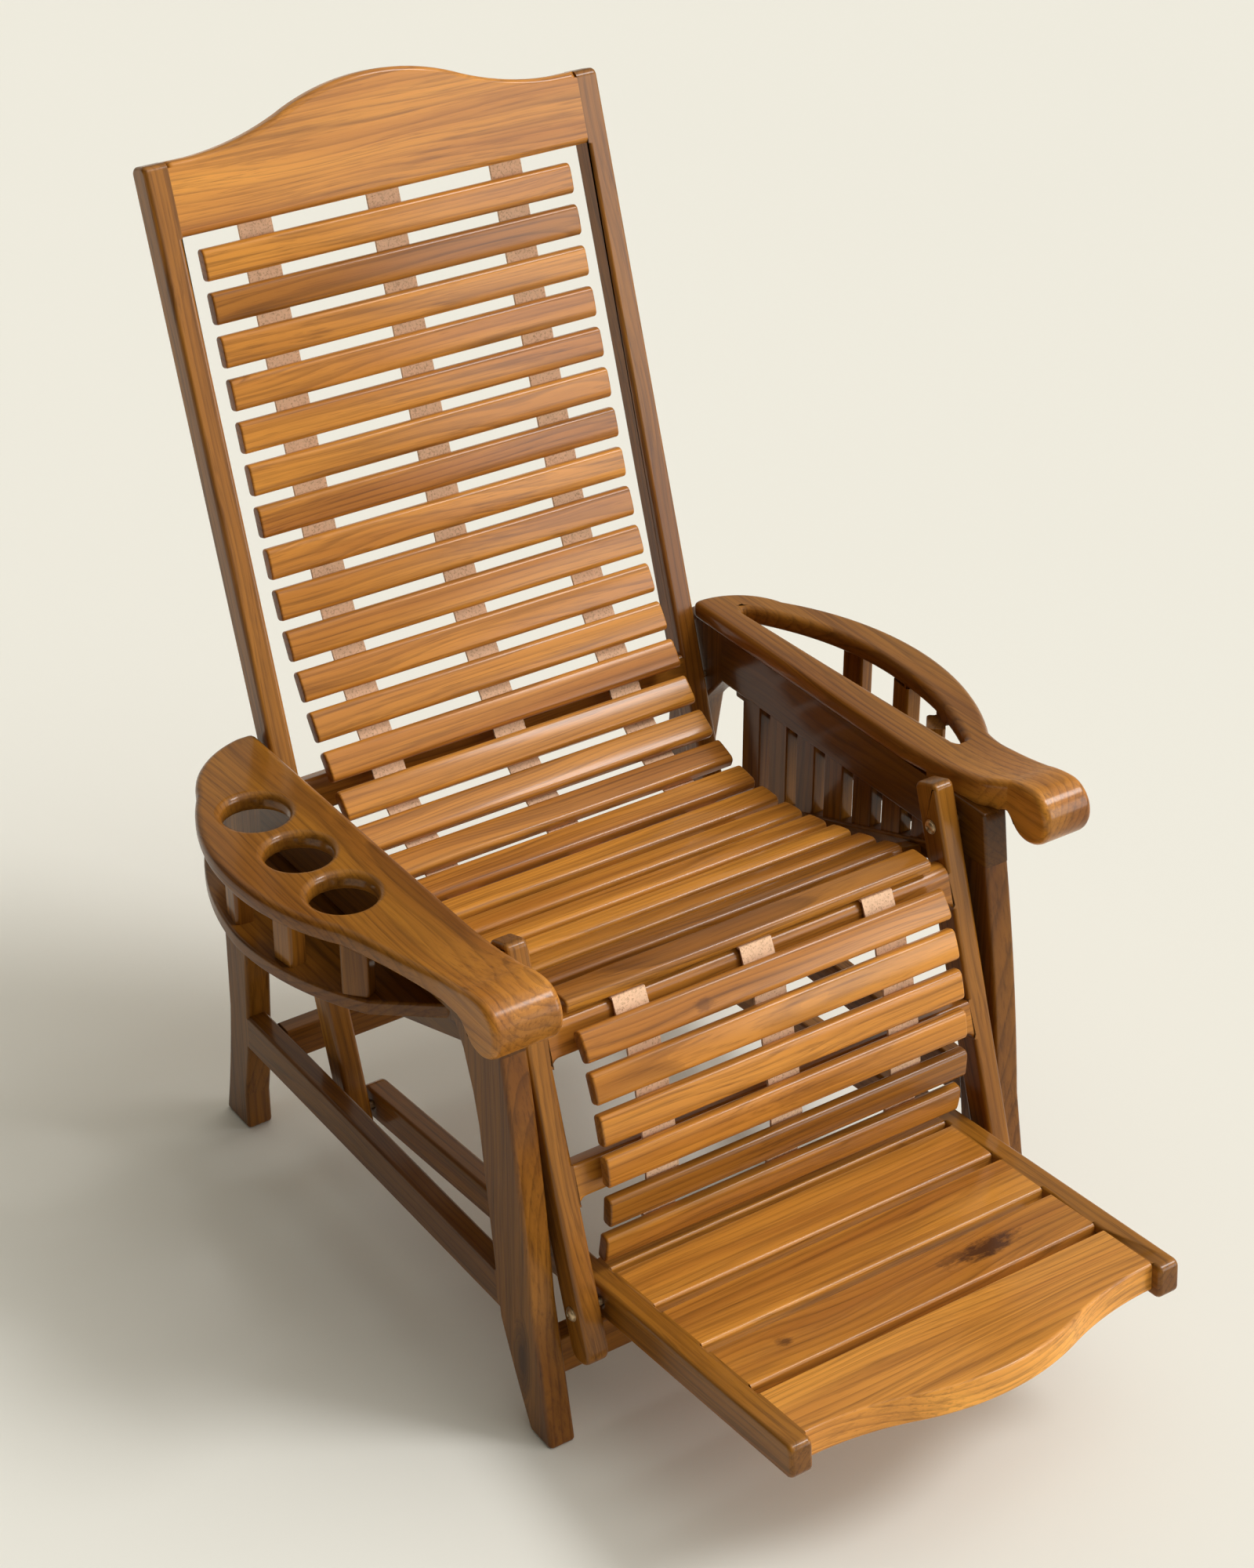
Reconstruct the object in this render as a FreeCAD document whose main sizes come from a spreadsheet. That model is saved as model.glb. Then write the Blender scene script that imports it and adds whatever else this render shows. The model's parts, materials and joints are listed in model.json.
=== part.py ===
import FreeCAD, Part
import math
import os
import Sketcher

# A planters chair in polished hardwood: two side frames joined by cross rails, a back and a calf frame
# that swing on bolts in the side frames, and a footrest hung between the lower ends of both, so that the
# four pieces move as one parallelogram. A mat of slats on three straps hangs from the crest, over the seat
# and the calf frame.
# Millimetres. The origin is on the floor midway between the feet, +Z up, the sitter looks toward -Y,
# and the sitter's right is -X. The side frames lie in planes of constant X.

SIZES = [
    ("frame_half_width", 306, "centre plane to the outer face of a leg"),
    ("leg_thickness", 30, "leg and arm rail, left to right"),
    ("recline_angle", 18.6, "lean of the back and calf frames, degrees"),
    ("back_pivot_inset", 32, "back pivot behind the front of the rear leg's head"),
    ("back_pivot_drop", 64, "armrests' underside down to the back pivot"),
    ("calf_pivot_inset", 42, "calf pivot behind the arm rail's front end"),
    ("calf_pivot_drop", 24, "armrests' underside down to the calf pivot"),
    ("footrest_height", 144.7, "front footrest pivot above the floor"),
    ("front_foot_reach", 340, "toe of the front leg, in front of the origin"),
    ("front_leg_span", 165, "toe of the front leg to the rear of its top"),
    ("rear_foot_reach", 335, "heel of the rear leg, behind the origin"),
    ("rear_leg_top_place", 200, "front of the rear leg's head, behind the origin"),
    ("arm_height", 490, "underside of the armrests"),
    ("arm_thickness", 22, "armrest board"),
    ("arm_rail_height", 60, "arm rail, top to bottom"),
    ("nose_setback", 85, "toe of the front leg back to the arm rail's front end"),
    ("arm_rail_rake", 9, "slant of the arm rail's front end"),
    ("stretcher_height", 164.5, "top of the stretchers and the rear cross rail"),
    ("stretcher_depth", 44.5, "stretcher, top to bottom"),
    ("stretcher_thickness", 23, "stretcher, left to right"),
    ("rear_rail_gap", 20, "rear cross rail to the rear leg behind it"),
    ("rear_rail_thickness", 24, "rear cross rail"),
    ("rear_rail_depth", 39.5, "rear cross rail, top to bottom"),
    ("front_rail_setback", 40, "toe of the front leg back to the front cross rail"),
    ("front_rail_thickness", 24, "front cross rail"),
    ("front_rail_depth", 48, "front cross rail, top to bottom"),
    ("front_rail_height", 98, "top of the front cross rail"),
    ("seat_rail_thickness", 20, "seat rail, left to right"),
    ("seat_rail_depth", 18, "seat rail, top to bottom"),
    ("seat_rail_rear_drop", 246, "armrests' underside down to the seat rail's at the rear leg"),
    ("seat_rail_front_drop", 90, "armrests' underside down to the seat rail's at the front leg"),
    ("side_slat_width", 32, "side slat, front to rear"),
    ("side_slat_thickness", 16, "side slat, left to right"),
    ("side_slat_setback", 53, "rear leg's head to the middle of the rearmost side slat"),
    ("side_slat_lead", 22, "front leg's rear top corner to the middle of the foremost side slat"),
    ("shelf_drop", 68, "armrest's underside down to the shelf's top"),
    ("shelf_thickness", 17, "shelf under an armrest"),
    ("shelf_overhang", 22, "shelf's rear point behind the front of the rear leg's head"),
    ("shelf_reach", 101, "widest reach of a shelf past the leg"),
    ("spindle_width", 30, "spindle along the shelf's edge"),
    ("spindle_thickness", 20, "spindle across the shelf's edge"),
    ("arm_gap", 3.5, "armrest's inner edge to the frames that swing past it"),
    ("arm_reach", 114, "widest reach of an armrest past the leg"),
    ("cup_arm_overhang", 72, "cup armrest's rear end behind the front of the rear leg's head"),
    ("rack_arm_overhang", 52, "rack armrest's rear end behind the front of the rear leg's head"),
    ("roll_lead", 38, "middle of the roll ahead of the arm rail's nose"),
    ("scroll_radius", 31, "rolled front end of an armrest"),
    ("roll_rise", 9, "middle of the roll above the armrest's underside"),
    ("cup_hole_radius", 34, "cup hole"),
    ("cup_hole_pitch", 88, "cup hole to cup hole"),
    ("cup_hole_inset", 141, "cup armrest's rear end to the middle of the rearmost cup hole"),
    ("cup_hole_out", 39, "leg's outer face to the middle of the cup holes"),
    ("slot_length", 364, "magazine slot, front to rear"),
    ("slot_inset", 46, "rack armrest's rear end to the rear point of the slot"),
    ("slot_land", 33.5, "armrest's inner edge to the slot's straight side, at its rear"),
    ("slot_width", 56, "slot at its widest"),
    ("stile_thickness", 26, "back stile, left to right"),
    ("stile_depth", 31, "back stile, front to rear"),
    ("stile_head", 680, "back pivot to the top of a back stile"),
    ("stile_tail", 25, "footrest pivot to the lower end of a stile"),
    ("stile_corner", 8, "rounded upper corners of the stiles"),
    ("stile_gap", 8, "leg to stile, filled by a spacer"),
    ("calf_stile_thickness", 25, "calf stile, left to right"),
    ("calf_stile_depth", 34, "calf stile, front to rear"),
    ("calf_stile_head", 47, "calf pivot to the top of a calf stile"),
    ("calf_stile_tail", 56, "footrest pivot to the lower end of a calf stile"),
    ("edge_ease", 2.5, "eased long edges of rails, boards and spindles"),
    ("crest_depth", 76, "crest rail beside the stiles, top to bottom"),
    ("crest_rise", 46, "hump of the crest above the stiles"),
    ("crest_thickness", 24, "crest rail"),
    ("crest_shoulder", 27, "level stretch of the crest beside a stile"),
    ("back_rail_foot", 4, "back pivot down to the lower rail's lower edge"),
    ("back_rail_depth", 37, "lower rail of the back, top to bottom"),
    ("back_rail_thickness", 22, "lower rail of the back"),
    ("calf_rail_depth", 41, "top rail of the calf frame, top to bottom"),
    ("calf_rail_thickness", 24, "rails of the calf frame"),
    ("calf_rail_round", 14, "front top edge of the calf top rail, where the mat turns"),
    ("calf_rail_web", 9, "hollow corner where a rail of the calf frame runs down onto a stile"),
    ("calf_middle_depth", 35, "middle rail of the calf frame, top to bottom"),
    ("slat_end_gap", 22, "end of a mat slat to the back stile"),
    ("slat_gap", 11.5, "between mat slats, at their closest"),
    ("slat_thickness", 15, "mat slat"),
    ("slat_round", 5, "rounded front edges of a mat slat"),
    ("slat_drop", 32.6, "crest's lower edge to the middle of the first slat"),
    ("lumbar_rise", 37.4, "back pivot to the middle of the back's last slat, along the mat"),
    ("lumbar_radius", 640, "curve of the mat below its straight stretch"),
    ("strap_width", 38, "strap under the slats"),
    ("strap_thickness", 3, "strap under the slats"),
    ("strap_inset", 70, "end of a slat to the middle of the outer strap"),
    ("strap_tuck", 70, "how far the straps run up behind the crest"),
    ("bearer_width", 24, "seat bearer, front to rear"),
    ("footrest_rail_thickness", 25.5, "footrest rail, left to right"),
    ("footrest_rail_depth", 38, "footrest rail, top to bottom"),
    ("footrest_rail_gap", 8.5, "calf stile to footrest rail, filled by a spacer"),
    ("footrest_nose", 11.5, "rails' front ends ahead of the front board's corners"),
    ("board_thickness", 18, "footrest board"),
    ("board_width", 68, "footrest board, front to rear"),
    ("board_gap", 11, "footrest board to footrest board"),
    ("board_start", 9, "front footrest pivot back to the first board's rear edge"),
    ("front_board_width", 110, "front board at its middle"),
    ("front_board_wave", 37.5, "front board's middle ahead of its corners"),
    ("front_board_lip", 32, "front board's front face, top to bottom"),
    ("rear_bar_gap", 7, "first board to the rear bar of the footrest"),
    ("rear_bar_thickness", 25, "rear bar of the footrest"),
    ("bolt_radius", 4, "pivot bolt's shank"),
    ("bolt_head_radius", 8, "pivot bolt's head"),
    ("bolt_head_height", 4, "pivot bolt's head"),
    ("bolt_grip", 20, "how deep a pivot bolt sits in the wood"),
    ("running_gap", 0.08, "shank to hole, where a frame turns"),
    ("open_gap", 0.3, "shank to hole at the rear footrest pivot, and side play of moving faces"),
    ("seat_gap", 0.03, "shank to hole, where a bolt is fixed"),
    ("overrun", 40, "how far a cut runs past the wood"),
]

SIDES = {"right": -1, "left": 1}
SIDE_SLATS = 7
CUP_HOLES = 3
BACK_SLATS = 13
STRAIGHT_SLATS = 8
SEAT_SLATS = 10
FOOTREST_BOARDS = 3

# Outlines are written as shares, chosen by eye, of the sizes named beside them.
# Legs: shares of the span front to rear and of the height, from the toe or from the head's front.
FRONT_LEG_SHARES = {
    "toe": (0.0, 0.0), "ankle": (0.203, 0.377), "shin": (0.295, 0.653), "brow": (0.461, 1.0),
    "heel": (0.231, 0.0), "arch": (0.379, 0.112), "calf": (0.550, 0.256), "knee": (0.739, 0.756),
    "hollow": (0.794, 0.837), "seat": (0.891, 0.935), "top": (1.0, 1.0),
}
REAR_LEG_SHARES = {
    "toe": (0.607, 0.0), "instep": (0.607, 0.092), "ankle": (0.504, 0.231), "shin": (0.444, 0.476),
    "seat": (0.348, 0.655), "neck": (0.244, 0.800), "chin": (0.0, 0.878), "brow": (0.0, 1.0),
    "heel": (1.0, 0.0), "arch": (0.904, 0.131), "calf": (0.807, 0.320), "back": (0.793, 0.494),
    "nape": (0.741, 0.755), "crown": (0.556, 1.0),
}
# Armrests seen from above: shares of the reach past the leg and of the rear end's distance from the origin.
CUP_ARM_SHARES = {
    "rear": (-0.123, 1.0), "hip": (0.290, 0.920), "wide": (0.623, 0.724), "elbow": (1.0, 0.313),
    "wrist": (0.658, -0.357), "palm": (0.478, -0.603), "hand": (0.368, -0.838),
}
RACK_ARM_SHARES = {
    "rear": (-0.280, 1.0), "hip": (0.150, 0.950), "wide": (0.447, 0.774), "elbow": (0.956, 0.060),
    "wrist": (0.518, -0.611), "palm": (0.480, -0.700), "hand": (0.478, -0.782),
    "inner_bend": (-0.303, -0.500), "inner_palm": (-0.193, -0.929), "inner_hand": (-0.061, -1.040),
}
# Shelf: shares of its reach past the leg and of the rearmost point's distance from the origin.
SHELF_SHARES = {
    "rear": (0.554, 1.0), "round": (0.822, 0.725), "wide": (1.0, 0.320), "side": (0.851, -0.126),
    "front": (0.495, -0.464), "tip": (-0.099, -0.680),
}
# Slot: shares of its width outward from the straight side and of its length from the rear point.
SLOT_SHARES = {
    "point": (0.0, 0.0), "rear": (0.107, 0.0), "shoulder": (0.825, 0.236), "belly": (1.0, 0.567),
    "waist": (0.736, 0.797), "front": (0.300, 0.962), "nose": (0.180, 0.992), "corner": (0.030, 1.0),
    "tip": (0.0, 0.975),
}
SLOT_SLANT_SHARE = 0.044
# Spindles: middle as shares of the shelf's reach past the leg and of its rearmost point's distance, and turn.
SPINDLE_SHARES = [(0.800, 0.430, -8), (0.750, 0.010, 8), (0.470, -0.370, 38)]
# Side view of an armrest: shares of the roll's radius, from the middle of the roll.
ROLL_SHARES = {"neck": (0.884, -0.452), "back": (0.55, -0.835), "brow": (1.13, 0.80), "top": (0.0, 1.0)}
ARM_SWEEP_SHARE = 4.3
ARM_SWEEP_MIDDLE_SHARE = 0.5
ARM_SWEEP_LIFT_SHARE = 0.29
ARM_NECK_RUN_SHARE = 2.0
# A rounded corner drawn through three points: how far its middle lies in from the corner.
ROUND_SHARE = 0.293
CREST_LOW_SHARE = 0.147
CREST_WAIST_SHARE = 0.75
# Front board: shares of its half length, and of its swell ahead of the corners.
BOARD_SHARES = {"flank": (0.742, 0.115), "swell": (0.478, 0.493)}
# How far a strap's end runs into the space between the slats of two frames.
STRAP_END_SHARE = 0.652
# The calf frame, as shares of its length from pivot to pivot: its slats' pitch, the top of its top rail
# and the foot of its middle rail.
CALF_PITCH_SHARE = 0.1313
CALF_RAIL_TOP_SHARE = 0.1121
CALF_MIDDLE_FOOT_SHARE = 0.6549

# Calf mat slats in the calf frame, as shares of their pitch ahead of a strap on the rails' front faces
# and below the pivot, with the heading in degrees from the frame's own downward line.
CALF_SLAT_SHARES = [
    (-0.337, 0.765, 71),
    (0.171, 1.610, 17),
    (0.281, 2.510, 4),
    (0.251, 3.470, -3),
    (0.136, 4.440, -9),
    (-0.104, 5.420, -20),
    (-0.609, 6.400, -27),
]
SEAT_ENTRY_SHARE = 0.42
SEAT_EXIT_SHARE = 0.30
SEAT_EXIT_ANGLE = 17
REAR_BEARER_SLAT = 4
FRONT_BEARER_SLAT = 8


class Size:
    """A number together with the sheet formula that gives it."""

    def __init__(self, value, formula):
        self.value = value
        self.formula = formula

    def __add__(self, other):
        other = size_of(other)
        return Size(self.value + other.value, f"({self.formula} + {other.formula})")

    def __sub__(self, other):
        other = size_of(other)
        return Size(self.value - other.value, f"({self.formula} - {other.formula})")

    def __mul__(self, other):
        other = size_of(other)
        return Size(self.value * other.value, f"({self.formula} * {other.formula})")

    def __truediv__(self, other):
        other = size_of(other)
        return Size(self.value / other.value, f"({self.formula} / {other.formula})")

    def __neg__(self):
        return Size(-self.value, f"(0 - {self.formula})")

    __radd__ = __add__
    __rmul__ = __mul__


def size_of(number):
    """A Size as it is, or a plain number as a Size."""
    if isinstance(number, Size):
        return number
    return Size(float(number), f"({float(number):.9f})")


def sine(angle):
    return Size(math.sin(math.radians(angle.value)), f"sin({angle.formula})")


def cosine(angle):
    return Size(math.cos(math.radians(angle.value)), f"cos({angle.formula})")


def arctangent(slope):
    return Size(math.degrees(math.atan(slope.value)), f"(atan({slope.formula}) / 1 deg)")


def smaller(first, second):
    return Size(min(first.value, second.value), f"min({first.formula}; {second.formula})")


class Sheet:
    """The driving sizes, each read as an attribute."""

    def __init__(self, doc):
        self.cells = doc.addObject("Spreadsheet::Sheet", "sizes")
        for row, (alias, value, meaning) in enumerate(SIZES, start=1):
            self.cells.set(f"A{row}", meaning)
            self.cells.set(f"B{row}", str(value))
            self.cells.setAlias(f"B{row}", alias)
        doc.recompute()

    def __getattr__(self, alias):
        return Size(float(self.cells.get(alias)), f"sizes.{alias}")


doc = FreeCAD.newDocument("planters_chair")
S = Sheet(doc)
NODES = []


def bind(obj, prop, size):
    """Sets a property to a size and keeps its formula."""
    obj.setExpression(prop, size_of(size).formula)


def place(obj, across=0, back=0, up=0, tilt=0):
    """Places an object by formulas; a positive tilt leans its top toward +Y."""
    obj.Placement = FreeCAD.Placement(FreeCAD.Vector(), FreeCAD.Rotation(FreeCAD.Vector(1, 0, 0), -1))
    bind(obj, "Placement.Base.x", across)
    bind(obj, "Placement.Base.y", back)
    bind(obj, "Placement.Base.z", up)
    bind(obj, "Placement.Rotation.Angle", -size_of(tilt))


def node(obj, label):
    """Names an object as one of the chair's pieces."""
    obj.Label = label
    NODES.append(obj)
    return obj


def body(name):
    return doc.addObject("PartDesign::Body", name)


def plane(owner, role):
    return [item for item in owner.Origin.OriginFeatures if item.Role == role][0]


def sketch_on(owner, role, name, offset=0):
    """A sketch on a plane of the body, at an offset along the plane's normal."""
    sketch = owner.newObject("Sketcher::SketchObject", name)
    sketch.AttachmentSupport = [(plane(owner, role), "")]
    sketch.MapMode = "FlatFace"
    bind(sketch, "AttachmentOffset.Base.z", offset)
    return sketch


def pin_point(sketch, geo, pos, point):
    """Holds one point of a sketch at its formulas."""
    for kind, axis, coordinate in (("DistanceX", -2, point[0]), ("DistanceY", -1, point[1])):
        coordinate = size_of(coordinate)
        if coordinate.value == 0:
            sketch.addConstraint(Sketcher.Constraint("PointOnObject", geo, pos, axis))
            continue
        index = sketch.addConstraint(Sketcher.Constraint(kind, -1, 1, geo, pos, coordinate.value))
        sketch.setExpression(f"Constraints[{index}]", coordinate.formula)


def vector(point):
    return FreeCAD.Vector(size_of(point[0]).value, size_of(point[1]).value, 0)


def outline(sketch, start, steps):
    """A closed outline: each step is (end,) for a line or (middle, end) for an arc through middle."""
    here = start
    first = None
    last = None
    for step in steps:
        end = step[-1]
        if len(step) == 1:
            geo = sketch.addGeometry(Part.LineSegment(vector(here), vector(end)), False)
            head, tail = 1, 2
        else:
            arc = Part.Arc(vector(here), vector(step[0]), vector(end))
            geo = sketch.addGeometry(arc, False)
            forward = sketch.getPoint(geo, 1).distanceToPoint(vector(here)) < 1e-6
            head, tail = (1, 2) if forward else (2, 1)
            middle = sketch.addGeometry(Part.Point(vector(step[0])), True)
            pin_point(sketch, middle, 1, step[0])
            sketch.addConstraint(Sketcher.Constraint("PointOnObject", middle, 1, geo))
        if last is not None:
            sketch.addConstraint(Sketcher.Constraint("Coincident", last[0], last[1], geo, head))
        else:
            first = (geo, head)
        pin_point(sketch, geo, tail, end)
        last = (geo, tail)
        here = end
    sketch.addConstraint(Sketcher.Constraint("Coincident", last[0], last[1], first[0], first[1]))


def polygon(sketch, points):
    outline(sketch, points[0], [(point,) for point in points[1:]] + [(points[0],)])


def circle(sketch, centre, radius):
    geo = sketch.addGeometry(Part.Circle(vector(centre), FreeCAD.Vector(0, 0, 1), radius.value), False)
    pin_point(sketch, geo, 3, centre)
    index = sketch.addConstraint(Sketcher.Constraint("Radius", geo, radius.value))
    sketch.setExpression(f"Constraints[{index}]", radius.formula)


def pad(owner, sketch, name, length, midplane=True, reverse=False):
    feature = owner.newObject("PartDesign::Pad", name)
    feature.Profile = sketch
    bind(feature, "Length", length)
    feature.Midplane = midplane
    feature.Reversed = reverse
    doc.recompute()
    return feature


def pocket(owner, sketch, name, length, midplane=False, reverse=False):
    """Cuts a sketch into the body and makes sure that wood was taken away."""
    before = owner.Shape.Volume
    feature = owner.newObject("PartDesign::Pocket", name)
    feature.Profile = sketch
    bind(feature, "Length", length)
    feature.Midplane = midplane
    feature.Reversed = reverse
    doc.recompute()
    if owner.Shape.Volume >= before:
        raise RuntimeError(f"{name} cuts nothing")
    return feature


def edges_along(axis, shape):
    """Names and middles of the straight edges that run along an axis."""
    found = {}
    for index, edge in enumerate(shape.Edges, start=1):
        if edge.Curve.TypeId == "Part::GeomLine" and abs(edge.Curve.Direction.dot(axis)) > 1 - 1e-6:
            found[f"Edge{index}"] = edge.CenterOfMass
    return found


def ease_edges(owner, name, axis):
    """Takes the sharpness off the edges of the body's last feature that run along an axis."""
    base = owner.Tip
    feature = owner.newObject("PartDesign::Chamfer", name)
    feature.Base = (base, list(edges_along(axis, base.Shape)))
    bind(feature, "Size", S.edge_ease)
    doc.recompute()
    return feature


X_AXIS = FreeCAD.Vector(1, 0, 0)
Y_AXIS = FreeCAD.Vector(0, 1, 0)
Z_AXIS = FreeCAD.Vector(0, 0, 1)


def bore(owner, name, role, centre, radius, depth, offset, reverse):
    """A round hole from a face at the given offset along the plane's normal."""
    sketch = sketch_on(owner, role, name + "_circle", offset)
    circle(sketch, centre, radius)
    return pocket(owner, sketch, name, depth, reverse=reverse)


def between(low, high, height):
    """The point of the line low-high at a height."""
    share = (height - low[1]) / (high[1] - low[1])
    return (low[0] + (high[0] - low[0]) * share, height)


# Places that several pieces share.
leg_inner = S.frame_half_width - S.leg_thickness
leg_middle = S.frame_half_width - S.leg_thickness / 2
arm_rail_foot = S.arm_height - S.arm_rail_height
arm_rail_nose = S.nose_setback - S.front_foot_reach
back_pivot = (S.rear_leg_top_place + S.back_pivot_inset, S.arm_height - S.back_pivot_drop)
calf_pivot = (arm_rail_nose + S.calf_pivot_inset, S.arm_height - S.calf_pivot_drop)
lean_back = sine(S.recline_angle)
lean_up = cosine(S.recline_angle)
link_length = (calf_pivot[1] - S.footrest_height) / lean_up
front_link = (calf_pivot[0] - link_length * lean_back, S.footrest_height)
rear_link = (back_pivot[0] - link_length * lean_back, back_pivot[1] - link_length * lean_up)
footrest_slope = arctangent((calf_pivot[1] - back_pivot[1]) / (back_pivot[0] - calf_pivot[0]))
footrest_run = (back_pivot[0] - calf_pivot[0]) / cosine(footrest_slope)
stile_outer = leg_inner - S.stile_gap
stile_middle = stile_outer - S.stile_thickness / 2
stile_inner = stile_outer - S.stile_thickness
calf_stile_middle = stile_outer - S.calf_stile_thickness / 2
calf_stile_inner = stile_outer - S.calf_stile_thickness
footrest_outer = calf_stile_inner - S.footrest_rail_gap
footrest_inner = footrest_outer - S.footrest_rail_thickness
arm_inner = stile_outer + S.arm_gap
roll_middle = arm_rail_nose - S.roll_lead
roll_height = S.arm_height + S.roll_rise
side_slat_inset = S.seat_rail_thickness - S.side_slat_thickness
shelf_top = S.arm_height - S.shelf_drop
shelf_rear = S.rear_leg_top_place + S.shelf_overhang
crest_foot = S.stile_head - S.crest_depth
slat_half_length = stile_inner - S.slat_end_gap
back_pitch = (crest_foot - S.slat_drop - S.lumbar_rise) / (BACK_SLATS - 1)
calf_pitch = link_length * CALF_PITCH_SHARE
slat_width = smaller(back_pitch, calf_pitch) - S.slat_gap
strap_spacing = slat_half_length - S.strap_inset
calf_rail_drop = link_length * CALF_RAIL_TOP_SHARE
calf_middle_drop = link_length * CALF_MIDDLE_FOOT_SHARE - S.calf_middle_depth


def leg_points(table, start, span, height):
    """The points of a leg's outline, each a place and a height."""
    return {key: (start + span * back, height * up) for key, (back, up) in table.items()}


# Legs
toe = -S.front_foot_reach
rear_span = S.rear_foot_reach - S.rear_leg_top_place
FRONT = leg_points(FRONT_LEG_SHARES, toe, S.front_leg_span, arm_rail_foot)
REAR = leg_points(REAR_LEG_SHARES, S.rear_leg_top_place, rear_span, S.arm_height)
seat_rail_front = S.arm_height - S.seat_rail_front_drop
seat_rail_rear = S.arm_height - S.seat_rail_rear_drop
SEAT_RAIL = {
    "front_foot": between(FRONT["hollow"], FRONT["seat"], seat_rail_front),
    "front_top": between(FRONT["seat"], FRONT["top"], seat_rail_front + S.seat_rail_depth),
    "rear_foot": between(REAR["shin"], REAR["seat"], seat_rail_rear),
    "rear_top": between(REAR["shin"], REAR["seat"], seat_rail_rear + S.seat_rail_depth),
}


def front_leg(side, sign):
    """A sabre leg: curved in front, straight behind up to the knee, flaring under the arm rail."""
    owner = body(f"{side}_front_leg_body")
    sketch = sketch_on(owner, "YZ_Plane", f"{side}_front_leg_outline")
    outline(sketch, FRONT["toe"], [
        (FRONT["heel"],),
        (FRONT["arch"], FRONT["calf"]),
        (FRONT["knee"],),
        (FRONT["hollow"],),
        (FRONT["seat"],),
        (FRONT["top"],),
        (FRONT["brow"],),
        (FRONT["shin"], FRONT["ankle"]),
        (FRONT["toe"],),
    ])
    pad(owner, sketch, f"{side}_front_leg_pad", S.leg_thickness)
    place(owner, across=leg_middle * sign)
    node(owner, f"{side}_front_leg")


def rear_leg(side, sign):
    """The rear leg, whose head carries the back pivot and the armrest's rear end."""
    owner = body(f"{side}_rear_leg_body")
    sketch = sketch_on(owner, "YZ_Plane", f"{side}_rear_leg_outline")
    outline(sketch, REAR["toe"], [
        (REAR["heel"],),
        (REAR["arch"], REAR["calf"]),
        (REAR["back"],),
        (REAR["nape"], REAR["crown"]),
        (REAR["brow"],),
        (REAR["chin"],),
        (REAR["neck"],),
        (REAR["seat"],),
        (REAR["shin"],),
        (REAR["ankle"],),
        (REAR["instep"],),
        (REAR["toe"],),
    ])
    pad(owner, sketch, f"{side}_rear_leg_pad", S.leg_thickness)
    inner_face = -(S.leg_thickness / 2) * sign
    bore(owner, f"{side}_back_pivot_hole", "YZ_Plane", back_pivot, S.bolt_radius + S.seat_gap, S.bolt_grip,
         inner_face, reverse=sign > 0)
    place(owner, across=leg_middle * sign)
    node(owner, f"{side}_rear_leg")


def lower_stretcher(side, sign):
    """The stretcher between the legs of one side, flush with their outer faces."""
    owner = body(f"{side}_stretcher_body")
    foot = S.stretcher_height - S.stretcher_depth
    sketch = sketch_on(owner, "YZ_Plane", f"{side}_stretcher_outline")
    polygon(sketch, [
        between(FRONT["calf"], FRONT["knee"], foot),
        between(REAR["ankle"], REAR["shin"], foot),
        between(REAR["ankle"], REAR["shin"], S.stretcher_height),
        between(FRONT["calf"], FRONT["knee"], S.stretcher_height),
    ])
    pad(owner, sketch, f"{side}_stretcher_pad", S.stretcher_thickness)
    ease_edges(owner, f"{side}_stretcher_edges", Y_AXIS)
    place(owner, across=(S.frame_half_width - S.stretcher_thickness / 2) * sign)
    node(owner, f"{side}_lower_stretcher")


def arm_rail(side, sign):
    """The rail under an armrest, from the rear leg to its raked nose over the front leg."""
    owner = body(f"{side}_arm_rail_body")
    sketch = sketch_on(owner, "YZ_Plane", f"{side}_arm_rail_outline")
    polygon(sketch, [
        (arm_rail_nose - S.arm_rail_rake, arm_rail_foot),
        (S.rear_leg_top_place, arm_rail_foot),
        (S.rear_leg_top_place, S.arm_height),
        (arm_rail_nose, S.arm_height),
    ])
    pad(owner, sketch, f"{side}_arm_rail_pad", S.leg_thickness)
    inner_face = -(S.leg_thickness / 2) * sign
    bore(owner, f"{side}_calf_pivot_hole", "YZ_Plane", calf_pivot, S.bolt_radius + S.seat_gap, S.bolt_grip,
         inner_face, reverse=sign > 0)
    place(owner, across=leg_middle * sign)
    node(owner, f"{side}_arm_rail")


def seat_rail(side, sign):
    """The sloping rail that carries the seat bearers and the side slats."""
    owner = body(f"{side}_seat_rail_body")
    sketch = sketch_on(owner, "YZ_Plane", f"{side}_seat_rail_outline")
    corners = [SEAT_RAIL[key] for key in ("front_foot", "rear_foot", "rear_top", "front_top")]
    polygon(sketch, corners + [FRONT["seat"]])
    pad(owner, sketch, f"{side}_seat_rail_pad", S.seat_rail_thickness)
    place(owner, across=(leg_inner + S.seat_rail_thickness / 2) * sign)
    node(owner, f"{side}_seat_rail")


def compound(label, parts):
    """One piece made of several solids."""
    group = doc.addObject("Part::Compound", f"{label}_group")
    group.Links = parts
    return node(group, label)


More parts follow.
